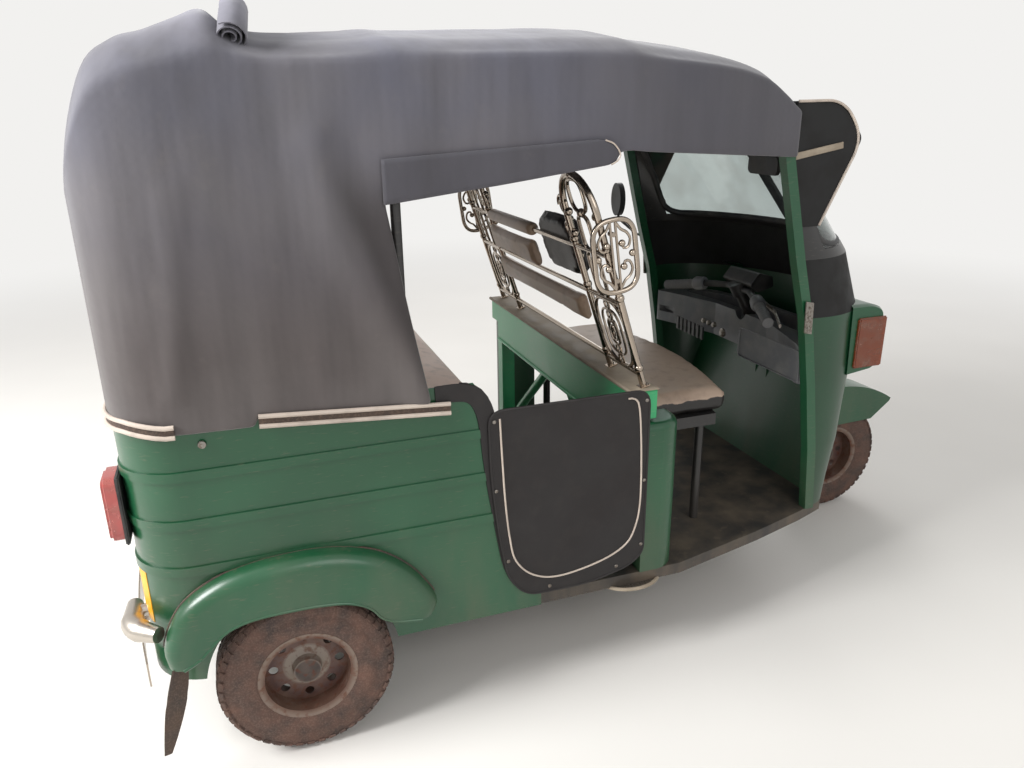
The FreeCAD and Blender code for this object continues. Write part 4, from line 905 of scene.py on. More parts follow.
def tread_tree():
    """Blocks round a wheel: each is a cube of the given size, leaning with the shoulder."""
    tree = bpy.data.node_groups.new("tread_ring", "GeometryNodeTree")
    tree.interface.new_socket("Geometry", in_out="OUTPUT", socket_type="NodeSocketGeometry")
    for name, kind in TREE_INPUTS:
        tree.interface.new_socket(name, in_out="INPUT", socket_type=f"NodeSocket{kind}")
    given = add(tree, "NodeGroupInput").outputs
    ring = add(tree, "GeometryNodeMeshCircle", {"Vertices": given["Blocks"], "Radius": given["Radius"]})
    cube = add(tree, "GeometryNodeMeshCube", {"Size": given["Block size"]})
    spot = add(tree, "GeometryNodeInputPosition")
    facing = add(tree, "FunctionNodeAlignRotationToVector", {"Vector": spot.outputs[0]},
                 axis="X", pivot_axis="Z")
    placed_blocks = add(tree, "GeometryNodeInstanceOnPoints", {
        "Points": ring.outputs[0], "Instance": cube.outputs[0], "Rotation": facing.outputs[0]})
    tilt = add(tree, "ShaderNodeCombineXYZ", {"Y": given["Lean"]})
    leaning = add(tree, "GeometryNodeRotateInstances", {
        "Instances": placed_blocks.outputs[0], "Rotation": tilt.outputs[0], "Local Space": True})
    spin = add(tree, "ShaderNodeCombineXYZ", {"Z": given["Phase"]})
    offset = add(tree, "ShaderNodeCombineXYZ", {"Z": given["Across"]})
    turned_ring = add(tree, "GeometryNodeTransform", {
        "Geometry": leaning.outputs[0], "Translation": offset.outputs[0], "Rotation": spin.outputs[0]})
    upright = add(tree, "GeometryNodeTransform", {
        "Geometry": turned_ring.outputs[0], "Translation": given["Wheel centre"],
        "Rotation": (math.radians(-90), 0, 0)})
    real = add(tree, "GeometryNodeRealizeInstances", {"Geometry": upright.outputs[0]})
    finish = add(tree, "GeometryNodeSetMaterial", {
        "Geometry": real.outputs[0], "Material": given["Material"]})
    add(tree, "NodeGroupOutput", {"Geometry": finish.outputs[0]})
    return tree


def grown(tree, values):
    """The plain mesh that a tree makes with these values for its named inputs."""
    host = bpy.data.objects.new("host", bpy.data.meshes.new("ring"))
    scene.collection.objects.link(host)
    modifier = host.modifiers.new("tree", "NODES")
    modifier.node_group = tree
    for item in tree.interface.items_tree:
        if item.in_out == "INPUT" and item.name in values:
            modifier[item.identifier] = values[item.name]
    bpy.context.view_layer.update()
    made = bpy.data.meshes.new_from_object(host.evaluated_get(bpy.context.evaluated_depsgraph_get()))
    host.modifiers.remove(modifier)
    bpy.data.objects.remove(host)
    mesh = bmesh.new()
    mesh.from_mesh(made)
    bpy.data.meshes.remove(made)
    return mesh


TREAD = tread_tree()
# Half of a tyre's section: place across and radius
SIDEWALL = ((-39, 105), (-45, 110), (-50, 124), (-52.3, 146), (-52.0, 160), (-50.5, 163), (-51.2, 170),
            (-50.0, 184), (-46.8, 194), (-41, 201), (-31, 204.6), (-24, 205.4), (-23, 201), (-20, 201),
            (-19, 205.8), (-7, 206.4), (-6, 201.5), (-3, 201.5), (-2, 206.6))
SHOULDER_BLOCK = (0.0050, 0.0165, 0.013)
CROWN_BLOCK = (0.0036, 0.0150, 0.010)
# Rings of blocks: count, radius, lean, place across, phase and block size
TREAD_RINGS = ((46, 195.5, 0.80, -46.5, 0.0, SHOULDER_BLOCK), (46, 195.5, -0.80, 46.5, 0.068, SHOULDER_BLOCK),
               (58, 204.6, 0.06, -31, 0.0, CROWN_BLOCK), (58, 204.6, -0.06, 31, 0.054, CROWN_BLOCK),
               (58, 205.2, 0.0, 0, 0.03, (0.0030, 0.0120, 0.005)))


def make_tyre(side, centre):
    """A worn cross-ply tyre: sidewalls with a rib, grooves round the crown and blocks at the shoulders."""
    material = rubber(f"{side}_tyre_rubber", "3a2d29", "735549", centre)
    profile = list(SIDEWALL) + [(-across, radius) for across, radius in SIDEWALL[::-1]]
    parts = [turned(profile, centre, steps=96)]
    for count, radius, lean, across, phase, size in TREAD_RINGS:
        parts.append(grown(TREAD, {
            "Blocks": count, "Radius": radius / 1000, "Lean": lean, "Across": across / 1000, "Phase": phase,
            "Block size": size, "Wheel centre": tuple(at(*centre)), "Material": material}))
    piece(f"{side}_treaded_tyre", gathered(parts), material, [TYRE_NODES[side]], f"{side}_road_wheel")


for side, centre in WHEELS.items():
    make_tyre(side, centre)


# Trims of the hood and tub
TUB_CORNER = (-1125, 470, 130)
BEAD_RISE = ((-1262, 870), (-1225, 870), (-1147, 856), (-958, 857), (-545, 829))
BEAD_RUNS = ((-545, 415), (-1150, 2000))


def round_the_tub(start, end, off, step=18):
    """Places in plan along the tub's side, round its corner and over its back to the middle, off its skin."""
    corner_x, corner_y, radius = TUB_CORNER
    radius += off
    line = []
    side_length = max(0, start - corner_x)
    arc = radius * math.pi / 2
    stop = min(side_length + arc + corner_y, end)
    count = max(2, round(stop / step))
    for k in range(count + 1):
        run = stop * k / count
        if run < side_length:
            line.append((start - run, -corner_y - radius))
        elif run < side_length + arc:
            turn = (run - side_length) / radius
            line.append((corner_x - radius * math.sin(turn), -corner_y - radius * math.cos(turn)))
        else:
            line.append((corner_x - radius, -corner_y + run - side_length - arc))
    return line


def make_belt():
    """The belt moulding: a rubber strip with two cream beads, broken under the canvas's hanging patch."""
    strips, beads = [], []
    for start, end in BEAD_RUNS:
        base = [at(x, y, stepped(x, BEAD_RISE)) for x, y in round_the_tub(start, end, 6.5)]
        strips.append(swept(base, [(-3, -13), (3, -13), (3, 13), (-3, 13)], UPWARDS))
        for lift in (11, -11):
            edge = [at(x, y, stepped(x, BEAD_RISE) + lift) for x, y in round_the_tub(start, end, 9.5)]
            beads.append(swept(edge, circle(5.2, 10), UPWARDS))
    piece("belt_moulding", both_sides(strips), FLAP_RUBBER)
    piece("belt_beads", both_sides(beads), PIPING)


ENTRANCE_EDGE = ((-578, 861), (-540, 862), (-507, 859), (-482, 845), (-465, 815), (-455, 770), (-449, 700),
                 (-440, 620), (-428, 540), (-414, 450), (-401, 385), (-378, 338), (-345, 312), (-318, 302))
BINDING_SECTION = ((-21, -1.8), (21, -1.8), (22, 0), (20.5, 1.8), (-20.5, 1.8), (-22, 0))
# Depth off the tub's skin and height
STICKER_SECTION = ((0, 382), (0, 535), (-1.6, 535), (-1.6, 382))


def make_entrance_trim():
    """Wide vinyl binding over the edge of each rear entrance, and the reflecting strip at the tail."""
    route = flowing(along(-602.4, ENTRANCE_EDGE), 0.014)
    trim = swept(route, BINDING_SECTION, LEFTWARDS)
    inner = [place + Vector((0, 0.004, 0)) for place in route[4:14]]
    lip = swept(inner, [(-22, -4), (22, -4), (22, 4), (-22, 4)], LEFTWARDS)
    piece("entrance_binding", both_sides([trim, lip]), BINDING)
    corner_x, corner_y, radius = TUB_CORNER
    rings = []
    for k in range(9):
        turn = math.radians(181 + 31 * k / 8)
        out = Vector((math.cos(turn), math.sin(turn), 0))
        skin_place = at(corner_x, -corner_y, 0) + out * (radius + 1.4) / 1000
        rings.append([skin_place + out * deep / 1000 + UPWARDS * z / 1000 for deep, z in STICKER_SECTION])
    piece("tail_reflector_strip", skin(rings, capped=True), YELLOW)


FLAP_TOP = ((-668, 1378), (-188, 1405), (-150, 1398), (-134, 1374))
FLAP_FOOT = ((-668, 1288), (-419, 1317), (-162, 1350), (-143, 1358), (-134, 1372))
FLAP_EDGE = ((-172, 1403), (-152, 1396), (-138, 1382), (-133, 1370), (-141, 1358), (-156, 1351))


def off_hood(x, z, off):
    """A place that stands off the hood's right side by this many millimetres."""
    plain = at(x, -HOOD_HALF * hood_size(x, 1), z)
    return plain - LEFTWARDS * (off + hood_relief(plain, -LEFTWARDS)) / 1000


def make_flap():
    """Darker flap of canvas sewn over the hood's edge above the right doorway, with a rounded front end."""
    rings = []
    for k in range(61):
        x = -668 + 534 * k / 60
        low, high = stepped(x, FLAP_FOOT), stepped(x, FLAP_TOP)
        rings.append([off_hood(x, low + (high - low) * j / 8, 5.5) for j in range(9)])
    made = bare("hood_flap", skin(rings, closed=False))
    thickened(made, 0.0028, 0)
    fitted(made, FLAP_CANVAS)
    edge = []
    for x, z in FLAP_EDGE:
        relief = hood_relief(at(x, -HOOD_HALF, z), -LEFTWARDS)
        edge.append(at(x, -HOOD_HALF * hood_size(x, 1) - 9 - relief, z))
    piece("flap_piping", swept(flowing(edge, 0.008), circle(1.8, 8)), PIPING)


GUARD_PIPING = ((-428, 786), (-424, 690), (-418, 573), (-408, 470), (-392, 398), (-345, 347), (-272, 328),
                (-158, 346), (-86, 380), (-58, 430), (-47, 504), (-50, 640), (-60, 760), (-74, 788),
                (-92, 791))
GUARD_OUTLINE = ((-455, 806), (-31, 806), (-31, 345), (-75, 312), (-190, 287), (-362, 289), (-412, 350),
                 (-436, 491), (-450, 632))
GUARD_SCREWS = ((-442, 780), (-40, 780), (-440, 600), (-38, 560), (-412, 400), (-39, 372), (-300, 303),
                (-110, 320))
SCREW_HEAD = ((0, 0.05), (0, 5), (2, 4.4), (3, 2.4), (3.2, 0.05))
TUB_BOLT_HEAD = ((0, 0.05), (0, 9), (4, 8), (6, 0.05))


def make_guard_trim():
    """The guard panel with thin pale piping sewn round it, a turned rim and the screws that hold it."""
    line = flowing(along(-610.5, GUARD_PIPING), 0.012)
    piece("guard_piping", swept(line, circle(2.4, 8)), PIPING)
    outline = bent(along(-609.3, GUARD_OUTLINE), 0.042, True, 6)
    plate = slab(outline, Vector((0, 0.005, 0)), 0.0012)
    piece("guard_plate", plate, BINDING, ["guard_panel"])
    rim = [place + Vector((0, 0.0015, 0)) for place in outline]
    piece("guard_rim", swept(rim, circle(3.6, 8), LEFTWARDS, closed=True), BINDING)
    screws = [turned(SCREW_HEAD, (x, -609.4, z), (0, -1, 0), 14) for x, z in GUARD_SCREWS]
    screws.append(turned(TUB_BOLT_HEAD, (-1077, -604, 821), (0, -1, 0), 18))
    piece("guard_screws", gathered(screws), STEEL)


MUDGUARD_CROWN = ((-1212, 314), (-1216, 360), (-1190, 424), (-1150, 470), (-1080, 508), (-1000, 527),
                  (-920, 533), (-850, 530), (-790, 518), (-735, 497), (-690, 467), (-650, 428), (-617, 380),
                  (-600, 345), (-612, 318))
MUDGUARD_OPENING = ((-1180, 314), (-1142, 334), (-1110, 366), (-1080, 391), (-1040, 405), (-1000, 410),
                    (-943, 411), (-878, 409), (-812, 399), (-765, 374), (-738, 340), (-700, 322), (-645, 314))
# Depth in from the crown, None at the opening, and place across
MUDGUARD_SECTION = ((0, -599), (0, -617), (2.5, -629), (9, -639), (19, -646), (33, -649.5), (None, -650.5),
                    (None, -647), (33, -646.5), (20, -643), (11, -637), (5, -628), (3, -617), (3, -599))


def make_mudguards():
    """Pressed rear mudguards: a rounded crown on the tub's side and a flat face with a rolled edge."""
    crown = shared_out(flowing(along(0, MUDGUARD_CROWN), 0.012), 61)
    opening = shared_out(flowing(along(0, MUDGUARD_OPENING), 0.012), 61)
    rings = []
    for high, low in zip(crown, opening):
        inward = (low - high).normalized()
        rings.append([(low if deep is None else high + inward * deep / 1000) + Vector((0, y / 1000, 0))
                      for deep, y in MUDGUARD_SECTION])
    shell = skin(rings, capped=True)
    roll = swept([place + Vector((0, -0.6485, 0)) for place in opening], circle(4, 10), LEFTWARDS)
    piece("pressed_mudguards", both_sides([shell, roll]), GREEN, ["rear_fenders"])
    seam = swept([place + Vector((0, -0.6015, 0)) for place in crown[3:-3]], circle(3, 8), LEFTWARDS)
    piece("mudguard_seams", both_sides([seam]), FLAP_RUBBER)


FLAP_SECTION = ((-1, -2), (-0.33, -2.6), (0.33, -2.6), (1, -2), (1, 2), (0.33, 2.6), (-0.33, 2.6), (-1, 2))


def make_rubber_flaps():
    """Knife-shaped rubber flaps that hang behind the rear wheels with a twist."""
    rings = []
    for k in range(15):
        t = k / 14
        if t < 0.4:
            half = 19 + 6 * math.sin(math.pi * t / 0.5)
        else:
            half = 24.6 - 18 * ((t - 0.4) / 0.6) ** 1.3
        spin = 0.75 + 0.55 * t
        x, y, z = -1190 - 56 * t ** 1.2, -629 + 3 * t, 316 - 232 * t
        rings.append([at(x + across * half * math.sin(spin) + deep, y + across * half * math.cos(spin), z)
                      for across, deep in FLAP_SECTION])
    flaps = both_sides([skin(rings, capped=True)])
    piece("twisted_mud_flaps", flaps, FLAP_RUBBER, ["mud_flaps"])


make_belt()
make_entrance_trim()
make_flap()
make_guard_trim()
make_mudguards()
make_rubber_flaps()


# Bulkhead and partition
def make_bulkhead_trim():
    """Dusty ledge with a rolled lip on the beam, a hem along its foot and the stays to its legs."""
    ledge = slab([at(-63, -576, 790.3), at(14, -576, 790.3), at(14, 576, 790.3), at(-63, 576, 790.3)],
                 Vector((0, 0, 0.0032)), 0.001)
    lip = swept([at(-63, -576, 789), at(-63, 576, 789)], circle(5.5, 12), UPWARDS)
    piece("beam_ledge", gathered([ledge, lip]), LEDGE)
    hem = swept([at(-59, -500, 649), at(-59, 500, 649)], circle(5, 10), UPWARDS)
    stays = both_sides([swept([at(-24, -462, 329), at(-24, -84, 646)], circle(15, 16), FORWARDS)])
    # The hem, stays and beam ends take the green painted lighter, as painted light
    piece("beam_stays", gathered([hem, stays]), LIT_BEAM_GREEN)
    ends = block((-58, -575, 712), (10, -500, 789.5), 2)
    piece("beam_ends", both_sides([ends]), LIT_BEAM_GREEN)


def ball(radius, spot):
    """A turned knob of the partition, its radius in millimetres."""
    angles = [math.radians(degrees) for degrees in range(-90, 91, 15)]
    rows = [(radius * math.sin(angle), max(0.05, radius * math.cos(angle))) for angle in angles]
    return turned(rows, spot * 1000, (0, 0, 1), 18)


def oval(up, half_height, half_width, radius):
    """A long closed link of round bar across a ladder of the partition, this far up."""
    middle = -(POST_OUTER + POST_INNER) / 2
    corners = [on_partition(0, middle + out * half_width, up + rise * half_height)
               for out, rise in ((-1, -1), (-1, 1), (1, 1), (1, -1))]
    return swept(bent(corners, half_width / 1000, True, 9), circle(radius, 10), closed=True)


def scroll(side, up, reach, turns, shrink, steps, start=0.0, tall=1.0):
    """A flat spiral of wire on the partition, drawn in towards its middle."""
    curl = []
    for k in range(steps + 1):
        turn = start + 2 * math.pi * turns * k / steps
        far = reach * (1 - shrink * k / steps)
        curl.append(on_partition(0, side + far * math.cos(turn), up + tall * far * math.sin(turn)))
    return curl


LADDER_BALLS = ((0, -376, 456), (0, -376, 398), (0, -540, 462), (0, -455, 462), (0, -455, 560),
                (6, -355, 330), (6, -352, 430))
FOOT_PLATE = ((-14, -14), (14, -14), (14, 14), (-14, 14))


def make_partition_frame():
    """Bent posts with rails between them; each ladder holds nested ovals, links and a loop."""
    middle, bend = (POST_OUTER + POST_INNER) / 2, (POST_OUTER - POST_INNER) / 2
    low, centre, high = PARTITION_RAILS
    arch = []
    for k in range(21):
        turn = math.pi * k / 20
        arch.append(on_partition(0, -middle - bend * math.cos(turn), POST_TOP - bend + bend * math.sin(turn)))
    post = [on_partition(0, -POST_OUTER, 2)] + arch + [on_partition(0, -POST_INNER, 2)]
    parts = [swept(post, circle(9, 14))]
    nest = (low + centre) / 2
    links = [(nest, 94, 80, 5), (nest, 64, 49, 3.5), (nest, 35, 23, 3.5)]
    links += [(nest + rise, 11, 11, 3.5) for rise in (-79, 79, -49, 49)]
    links += [((centre + high) / 2, 62, 30, 5), ((high + 455) / 2, 46, 30, 5), (505, 42, 42, 5)]
    parts += [oval(*link) for link in links]
    for across in (-POST_OUTER, -POST_INNER):
        corners = [on_partition(ahead, across + side, 4) for ahead, side in FOOT_PLATE]
        parts.append(slab(corners, on_partition(0, 0, 9) - on_partition(0, 0, 4), 0.001))
    shapes = [both_sides(parts)]
    for level in PARTITION_RAILS:
        rail = [on_partition(0, -POST_OUTER, level), on_partition(0, POST_OUTER, level)]
        shapes.append(swept(rail, circle(7, 12)))
    piece("partition_ladders", gathered(shapes), CHROME, ["partition_frame"])


def make_partition_trim():
    """Small scrolls with balls on the ladders, and a spiral inside each nest of ovals."""
    parts = [ball(11, on_partition(*spot)) for spot in LADDER_BALLS]
    parts.append(swept(scroll(-352, 470, 30, 1.4, 0.62, 28), circle(4, 10)))
    parts.append(swept(scroll(-352, 410, 26, 1.4, 0.62, 28, math.pi), circle(4, 10)))
    parts.append(swept(scroll(-455, 137, 20, 2.1, 0.8, 40, tall=1.7), circle(3.2, 8)))
    for across in (-POST_OUTER, -POST_INNER):
        parts += [ball(12, on_partition(0, across, up + 18)) for up in PARTITION_RAILS]
    piece("partition_scrolls", both_sides(parts), CHROME)


OVAL_MIDDLE, OVAL_LEAN = (-116, -562, 1137), math.radians(8)
OVAL_SCROLL = ((9, 78), (20, 62), (34, 52), (42, 36), (36, 18), (24, 16), (20, 28))


def make_outer_ovals():
    """Heavy ovals outside the ladders, each with two bars and four scrolls that end in balls."""
    sine, cosine = math.sin(OVAL_LEAN), math.cos(OVAL_LEAN)

    def spot(ahead, up):
        """A place on the oval's own plane, in millimetres from its middle."""
        return at(*OVAL_MIDDLE) + at(ahead * cosine - up * sine, 0, ahead * sine + up * cosine)

    corners = [spot(-55, -87), spot(-55, 87), spot(55, 87), spot(55, -87)]
    parts = [swept(bent(corners, 0.055, True, 10), circle(6.5, 14), closed=True)]
    for ahead in (-7, 7):
        parts.append(swept([spot(ahead, -84), spot(ahead, 84)], circle(3.6, 8)))
    for out in (-1, 1):
        for rise in (-1, 1):
            curl = [spot(out * ahead, rise * up) for ahead, up in OVAL_SCROLL]
            parts.append(swept(flowing(curl, 0.006), circle(3.6, 8)))
            parts.append(ball(8.5, curl[-1]))
        parts.append(ball(8.5, spot(out * 45, 0)))
    for up in (-60, 52):
        peg = [spot(0, up) + Vector((0, -0.002, 0)), spot(0, up) + Vector((0, 0.020, 0))]
        parts.append(swept(peg, circle(6, 10)))
    piece("partition_outer_ovals", both_sides(parts), CHROME)


make_bulkhead_trim()
make_partition_frame()
make_outer_ovals()
make_partition_trim()


# Nose
def on_glass(across, height, lift=0.0):
    """A place on the windscreen's inner face, across measured in millimetres round the nose."""
    turn = across / 430
    aim = Vector((math.cos(turn), math.sin(turn), 0))
    hit, spot, _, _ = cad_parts["windscreen_glass"].ray_cast(at(440, 0, height), aim)
    return spot - aim * lift / 1000 if hit else None


def glass_side(height):
    """How far round the nose the glass reaches at this height."""
    across = 300
    while across < 800 and on_glass(across, height) is not None:
        across += 4
    return across - 4


GLASS_LOW, GLASS_HIGH = 1092, 1368


def make_windscreen_seal():
    """Broad black rubber round the glass with rounded lower corners, and the strut up its middle."""
    low, high = GLASS_LOW, GLASS_HIGH
    wide_low, wide_high = glass_side(low), glass_side(high)
    corners = [Vector(row) for row in ((-wide_high, high, 0), (-wide_low, low, 0), (wide_low, low, 0),
                                       (wide_high, high, 0))]
    flat = bent(corners, 62, False, 8)
    line = []
    for start, end in zip(flat, flat[1:]):
        pieces = max(1, round((end - start).length / 30))
        for k in range(pieces):
            spot = start + (end - start) * k / pieces
            reach = glass_side(spot.y) - 1
            place = on_glass(max(-reach, min(reach, spot.x)), spot.y, 3)
            if place is not None:
                line.append(place)
    seal = swept(line, circle(11, 12))
    strut = [on_glass(0, high + (low - high) * k / 8, 4) for k in range(9)]
    pillar = swept(strut, [(-17, -3), (17, -3), (13, 7), (-13, 7)], LEFTWARDS)
    piece("windscreen_rubber", gathered([seal, pillar]), SEAL_RUBBER)


VISOR_CHEEK = ((449, 1480), (595, 1482), (668, 1385), (556, 1156), (497, 1156), (437, 1398))
PEAK_OUTSIDE = ((449, 1480), (595, 1482), (668, 1385), (654, 1354))
PEAK_INSIDE = ((449, 1476), (592, 1477), (662, 1385), (650, 1356))
VISOR_BEAD = ((449, 1480), (595, 1482), (668, 1385), (556, 1158))
STAY_BAR = ((455, 1334), (455, 1352), (604, 1377), (606, 1360))
HINGE_PLATE = ((528, 950), (556, 944), (560, 852), (533, 858))
HINGE_SCREW = ((0, 4), (2.4, 4), (3.2, 0.05))


def make_visor():
    """The visor: a rolled peak between two rounded cheeks, with cream beading on their edges."""
    cheek = along(-455, VISOR_CHEEK)
    rounded = [cheek[0]] + bent(cheek[:4], 0.075, False, 8)[1:] + cheek[4:]
    cheeks = both_sides([slab(rounded, Vector((0, 0.005, 0)), 0.001)])
    loop = bent(along(0, PEAK_OUTSIDE), 0.075, False, 8) + bent(along(0, PEAK_INSIDE), 0.072, False, 8)[::-1]
    rings = [[place + Vector((0, y / 1000, 0)) for place in loop] for y in (-455, -200, 0, 200, 455)]
    shell = gathered([cheeks, skin(rings, capped=True)])
    piece("visor_shell", shell, NOSE_BLACK, ["visor"])
    bead = swept(bent(along(-456, VISOR_BEAD), 0.07, False, 8), circle(3.6, 8), LEFTWARDS)
    piece("visor_beading", both_sides([bead]), PIPING)


def make_post_fittings():
    """The visor's stay bars and the old hinge plates on the door posts."""
    bar = slab(along(-456, STAY_BAR), Vector((0, -0.003, 0)), 0.001)
    piece("visor_stay_bars", both_sides([bar]), LEDGE)
    parts = [slab(along(-470, HINGE_PLATE), Vector((0, -0.004, 0)), 0.001)]
    parts += [turned(HINGE_SCREW, (544, -474, z), (0, -1, 0), 12) for z in (930, 902, 872)]
    piece("post_fittings", both_sides(parts), STEEL)


def make_inner_mirror():
    """Inside mirror on its stem below the roof."""
    outline = bent(athwart(468, ((-372, 1286), (-232, 1286), (-232, 1338), (-372, 1338))), 0.018, True)
    head = slab(outline, Vector((0.012, 0, 0)), 0.003)
    stem = swept([at(480, -302, 1325), at(492, -302, 1380)], circle(5, 10), LEFTWARDS)
    piece("inside_mirror", gathered([head, stem]), PLASTIC)


GLOVE_LID = ((-424, 690), (-122, 690), (-122, 784), (-424, 784), (-424, 690))
DASH_KNOB = ((0, 0.05), (0, 9), (10, 8), (12, 0.05))
KEY_SWITCH = ((0, 0.05), (0, 15), (6, 15), (9, 10), (9, 0.05))


def make_dash_trim():
    """Vents, glove lid, knobs and key switch of the dash."""
    vents = [block((570, y, 682), (577, y + 19, 732), 3) for y in range(92, 256, 27)]
    piece("dash_vents", gathered(vents), PLASTIC)
    lid = block((571, -424, 690), (576, -122, 784), 5)
    edge = swept(bent(athwart(569.5, GLOVE_LID), 0.012, False, 4), circle(2.2, 8), FORWARDS)
    piece("glove_lid", gathered([lid, edge]), DASH_PLASTIC)
    knobs = [turned(DASH_KNOB, (571, y, 758), (-1, 0, 0), 16) for y in (20, 52, 84)]
    knobs.append(turned(KEY_SWITCH, (571, -30, 742), (-1, 0, 0), 20))
    piece("dash_knobs", gathered(knobs), STEEL)


def bar_point(share, side):
    """A place along the handlebar's grip run, 0 at its end and 1 at its bend."""
    end, bend = Vector((540, side * 300, 846)), Vector((604, side * 150, 876))
    return (end + (bend - end) * share) / 1000


def make_controls():
    """Grips, switch housings and levers on the bar."""
    grips, housings, levers = [], [], []
    flat_oval = [(4 / 7 * x, y) for x, y in circle(7, 12)]
    for side in (-1, 1):
        out = (bar_point(0, side) - bar_point(1, side)).normalized()
        ribs = flowing([bar_point(0, side) + out * 0.003, bar_point(0.1, side), bar_point(0.72, side)], 0.004)
        sizes = [16.5 + 0.9 * math.sin(k * 1.9) for k in range(len(ribs))]
        grips.append(swept(ribs, circle(1, 16), sizes=sizes))
        run = [bar_point(share, side) for share in (0.74, 0.80, 1.0)]
        housings.append(swept(run, circle(1, 18), sizes=[20, 25, 22]))
        root = bar_point(0.9, side) + Vector((0.030, 0, -0.004))
        lever = [root] + [bar_point(share, side) + Vector((ahead, 0, up)) for share, ahead, up in (
            (0.6, 0.052, -0.012), (0.25, 0.050, -0.014), (-0.05, 0.044, -0.012))]
        levers.append(swept(flowing(lever, 0.01), flat_oval, UPWARDS))
        levers.append(swept([bar_point(0.9, side), root], circle(7, 12), UPWARDS))
    piece("bar_grips", gathered(grips), GRIP_RUBBER, body="steering")
    piece("bar_housings", gathered(housings), DASH_PLASTIC, body="steering")
    piece("brake_levers", gathered(levers), STEEL, body="steering")


def nose_skin(side, height):
    """How far forward the nose's skin lies on a fore and aft line, in millimetres."""
    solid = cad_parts["front_shield" if height < 890 else "cowl"]
    hit, spot, _, _ = solid.ray_cast(at(400, side, height), FORWARDS)
    return spot.x * 1000 + 1.5 if hit else 760


HOUSING_OUTLINE = ((740, 688), (846, 700), (866, 728), (862, 890), (822, 906), (740, 906))
LAMP_DOME = ((0, 57), (6, 55), (14, 44), (20, 28), (23, 12), (24, 0.05), (22, 0.05), (20, 12), (17, 28),
             (11, 43), (3, 53), (-3, 55))
LAMP_BOWL = ((1.5, 0.05), (1.5, 20), (2.5, 40), (4.5, 53))
LAMP_RIM = ((-6, 57.5), (8, 57.5), (12, 60), (12, 63), (6, 66), (-6, 65))
TAIL_LENS = ((-530, 588), (-435, 588), (-435, 738), (-530, 738))


def make_lamps():
    """Headlamp housings, the headlamps with bright rims, the amber turn lamps and the red tail lamps."""
    front = bent(along(0, HOUSING_OUTLINE), 0.02)
    rings = []
    for k in range(13):
        y = -428 + 150 * k / 12
        inset = 0.005 if k in (0, 12) else 0
        ring = []
        for place in front:
            rise = inset if place.z < 0.8 else -inset
            ring.append(place + Vector((-inset, y / 1000, rise)))
        ring[0].x = nose_skin(max(y, -418), 700) / 1000
        ring[-1].x = nose_skin(max(y, -418), 888) / 1000
        rings.append(ring)
    housings = both_sides([skin(rings, capped=True)])
    piece("lamp_housings", housings, GREEN_TRIM, ["headlamp_pods"])
    dome = turned(LAMP_DOME, (864, -353, 802), (1, 0, 0), 48)
    piece("headlamp_lenses", both_sides([dome]), CLEAR_LENS, ["headlamps"])
    bowl = turned(LAMP_BOWL, (864, -353, 802), (1, 0, 0), 40)
    piece("headlamp_bowls", both_sides([bowl]), PEARL)
    rims = turned(LAMP_RIM, (862, -353, 802), (1, 0, 0), 48)
    piece("headlamp_rims", both_sides([rims]), CHROME)
    amber = block((764, -437, 712), (868, -424, 868), 4)
    piece("turn_lamp_lenses", both_sides([amber]), AMBER_LENS, ["turn_lamps"])
    red = slab(bent(athwart(-1257, TAIL_LENS), 0.022, True), Vector((-0.037, 0, 0)), 0.007, 3)
    piece("tail_lamp_lenses", both_sides([red]), RED_LENS, ["tail_lamps"])
    base = block((-1264, -536, 582), (-1255, -429, 744), 3)
    piece("tail_lamp_bases", both_sides([base]), PLASTIC)


def make_corner_bars():
    """Round bar about each rear corner on a stub from the tub."""
    route = bent([at(-1280, -470, 394), at(-1280, -566, 394), at(-1222, -612, 394)], 0.045, False, 9)
    sizes = [18, 23] + [25] * (len(route) - 4) + [23, 18]
    bar = swept(route, circle(1, 24), UPWARDS, sizes=sizes)
    stub = swept([at(-1278, -500, 394), at(-1245, -500, 394)], circle(14, 14), UPWARDS)
    piece("corner_bumper_bars", both_sides([bar, stub]), DULL_CHROME)


STEP_ROOT = -0.560


def make_step_rim():
    """Worn bright rim along the edge of the foot step."""
    places = [vert.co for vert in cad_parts["foot_step"].data.vertices]
    low_x, high_x = min(place.x for place in places), max(place.x for place in places)
    middle, half = (low_x + high_x) / 2, (high_x - low_x) / 2
    deep = STEP_ROOT - min(place.y for place in places)
    height = max(place.z for place in places) - 0.001
    line = []
    for k in range(25):
        turn = math.pi * k / 24
        line.append(Vector((middle + half * math.cos(turn), STEP_ROOT - deep * math.sin(turn), height)))
    piece("foot_step_rim", swept(line, circle(5, 10), UPWARDS), LEDGE)


make_windscreen_seal()
make_visor()
make_post_fittings()
make_inner_mirror()
make_dash_trim()
make_controls()
make_lamps()
make_corner_bars()
make_step_rim()


# Room, light and camera
BACKDROP = "f2f1ef"


def make_stage():
    """A plain pale floor with the ground's height at zero, fading into the backdrop."""
    reach = 30
    floor = bmesh.new()
    corners = ((-reach, -reach, 0), (reach, -reach, 0), (reach, reach, 0), (-reach, reach, 0))
    floor.faces.new([floor.verts.new(place) for place in corners])
    made = bare("pale_floor", floor)
    material, tree, shader = surface("matt_pale_floor", Roughness=0.75)
    specks = patches(tree, placed(tree), 900, 0.3, 0.7, 2.0)
    painted(tree, shader, mixed(tree, specks, "e9e6e1", "eeebe6"))
    reach = add(tree, "ShaderNodeVectorMath", {0: placed(tree)}, operation="LENGTH").outputs["Value"]
    far = ramp(tree, reach, 2.2, 7.5, soft=True)
    haze = add(tree, "ShaderNodeEmission", {"Color": colour(BACKDROP)}).outputs[0]
    blend = add(tree, "ShaderNodeMixShader", {0: far, 1: shader.outputs[0], 2: haze})
    tree.links.new(blend.outputs[0], tree.nodes["Material Output"].inputs["Surface"])
    made.data.materials.append(material)


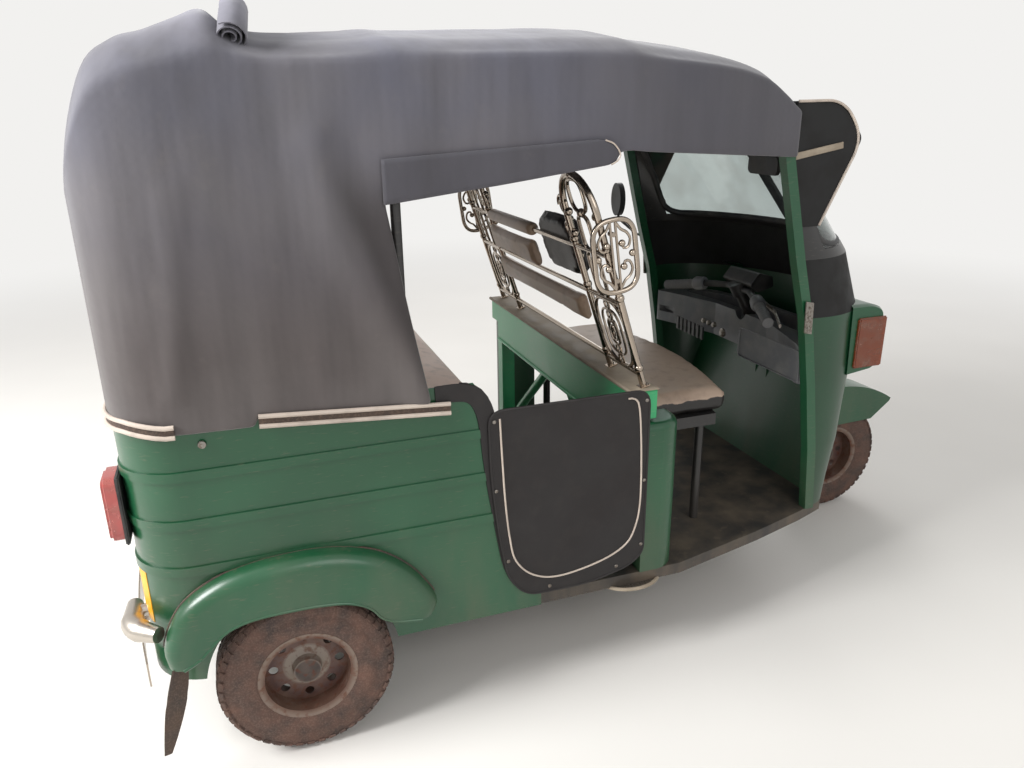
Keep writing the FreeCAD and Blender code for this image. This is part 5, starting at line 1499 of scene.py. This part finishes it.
LIGHT_AIM = (-0.2, 0, 0.7)
LAMP_BOXES = (("tail_lamp_box", (-4.4, -0.8, 3.4), 2.4, 340), ("camera_lamp_box", (0.5, -5.0, 3.4), 3.0, 60),
              ("left_lamp_box", (2.5, 4.2, 3.8), 3.0, 60))


def make_light():
    """Soft light all round, a broad lamp from behind the tail and weaker ones by the camera and the left."""
    world = bpy.data.worlds.new("studio")
    scene.world = world
    world.use_nodes = True
    tree = world.node_tree
    tree.nodes.clear()
    rays = add(tree, "ShaderNodeLightPath").outputs
    seen = joined(tree, "MAXIMUM", rays["Is Camera Ray"], rays["Is Glossy Ray"])
    seen = joined(tree, "MAXIMUM", seen, rays["Is Transmission Ray"])
    glow = add(tree, "ShaderNodeBackground", {"Color": colour("ffffff"), "Strength": 0.50})
    shown = add(tree, "ShaderNodeBackground", {"Color": colour(BACKDROP), "Strength": 1.0})
    blend = add(tree, "ShaderNodeMixShader", {0: seen, 1: glow.outputs[0], 2: shown.outputs[0]})
    add(tree, "ShaderNodeOutputWorld", {"Surface": blend.outputs[0]})
    for name, place, size, power in LAMP_BOXES:
        lamp = bpy.data.lights.new(name, "AREA")
        lamp.shape = "DISK"
        lamp.size = size
        lamp.energy = power
        holder = bpy.data.objects.new(name, lamp)
        holder.location = place
        holder.rotation_euler = (Vector(LIGHT_AIM) - Vector(place)).to_track_quat("-Z", "Y").to_euler()
        scene.collection.objects.link(holder)


CAMERA_PLACE = (-0.9685, -2.2393, 1.4703)
CAMERA_HEADING, CAMERA_TILT, CAMERA_ROLL = (math.radians(angle) for angle in (19.34, 19.21, -0.72))
FOCAL_PIXELS, PICTURE_WIDTH, SENSOR_WIDTH = 789.9, 1024, 36


def make_camera():
    """The photograph's camera: where it stood, and its heading, tilt and roll."""
    ahead = Vector((math.sin(CAMERA_HEADING) * math.cos(CAMERA_TILT),
                    math.cos(CAMERA_HEADING) * math.cos(CAMERA_TILT), -math.sin(CAMERA_TILT)))
    level = Vector((math.cos(CAMERA_HEADING), -math.sin(CAMERA_HEADING), 0))
    above = level.cross(ahead)
    right = level * math.cos(CAMERA_ROLL) + above * math.sin(CAMERA_ROLL)
    up = above * math.cos(CAMERA_ROLL) - level * math.sin(CAMERA_ROLL)
    lens_data = bpy.data.cameras.new("photo_camera")
    lens_data.sensor_width = SENSOR_WIDTH
    lens_data.lens = FOCAL_PIXELS / PICTURE_WIDTH * SENSOR_WIDTH
    lens_data.clip_end = 200
    camera = bpy.data.objects.new("photo_camera", lens_data)
    turn = Matrix((right, up, -ahead)).transposed().to_4x4()
    camera.matrix_world = Matrix.Translation(CAMERA_PLACE) @ turn
    scene.collection.objects.link(camera)
    scene.camera = camera


make_stage()
make_light()
make_camera()
scene.view_settings.view_transform = "Standard"

bpy.context.view_layer.update()
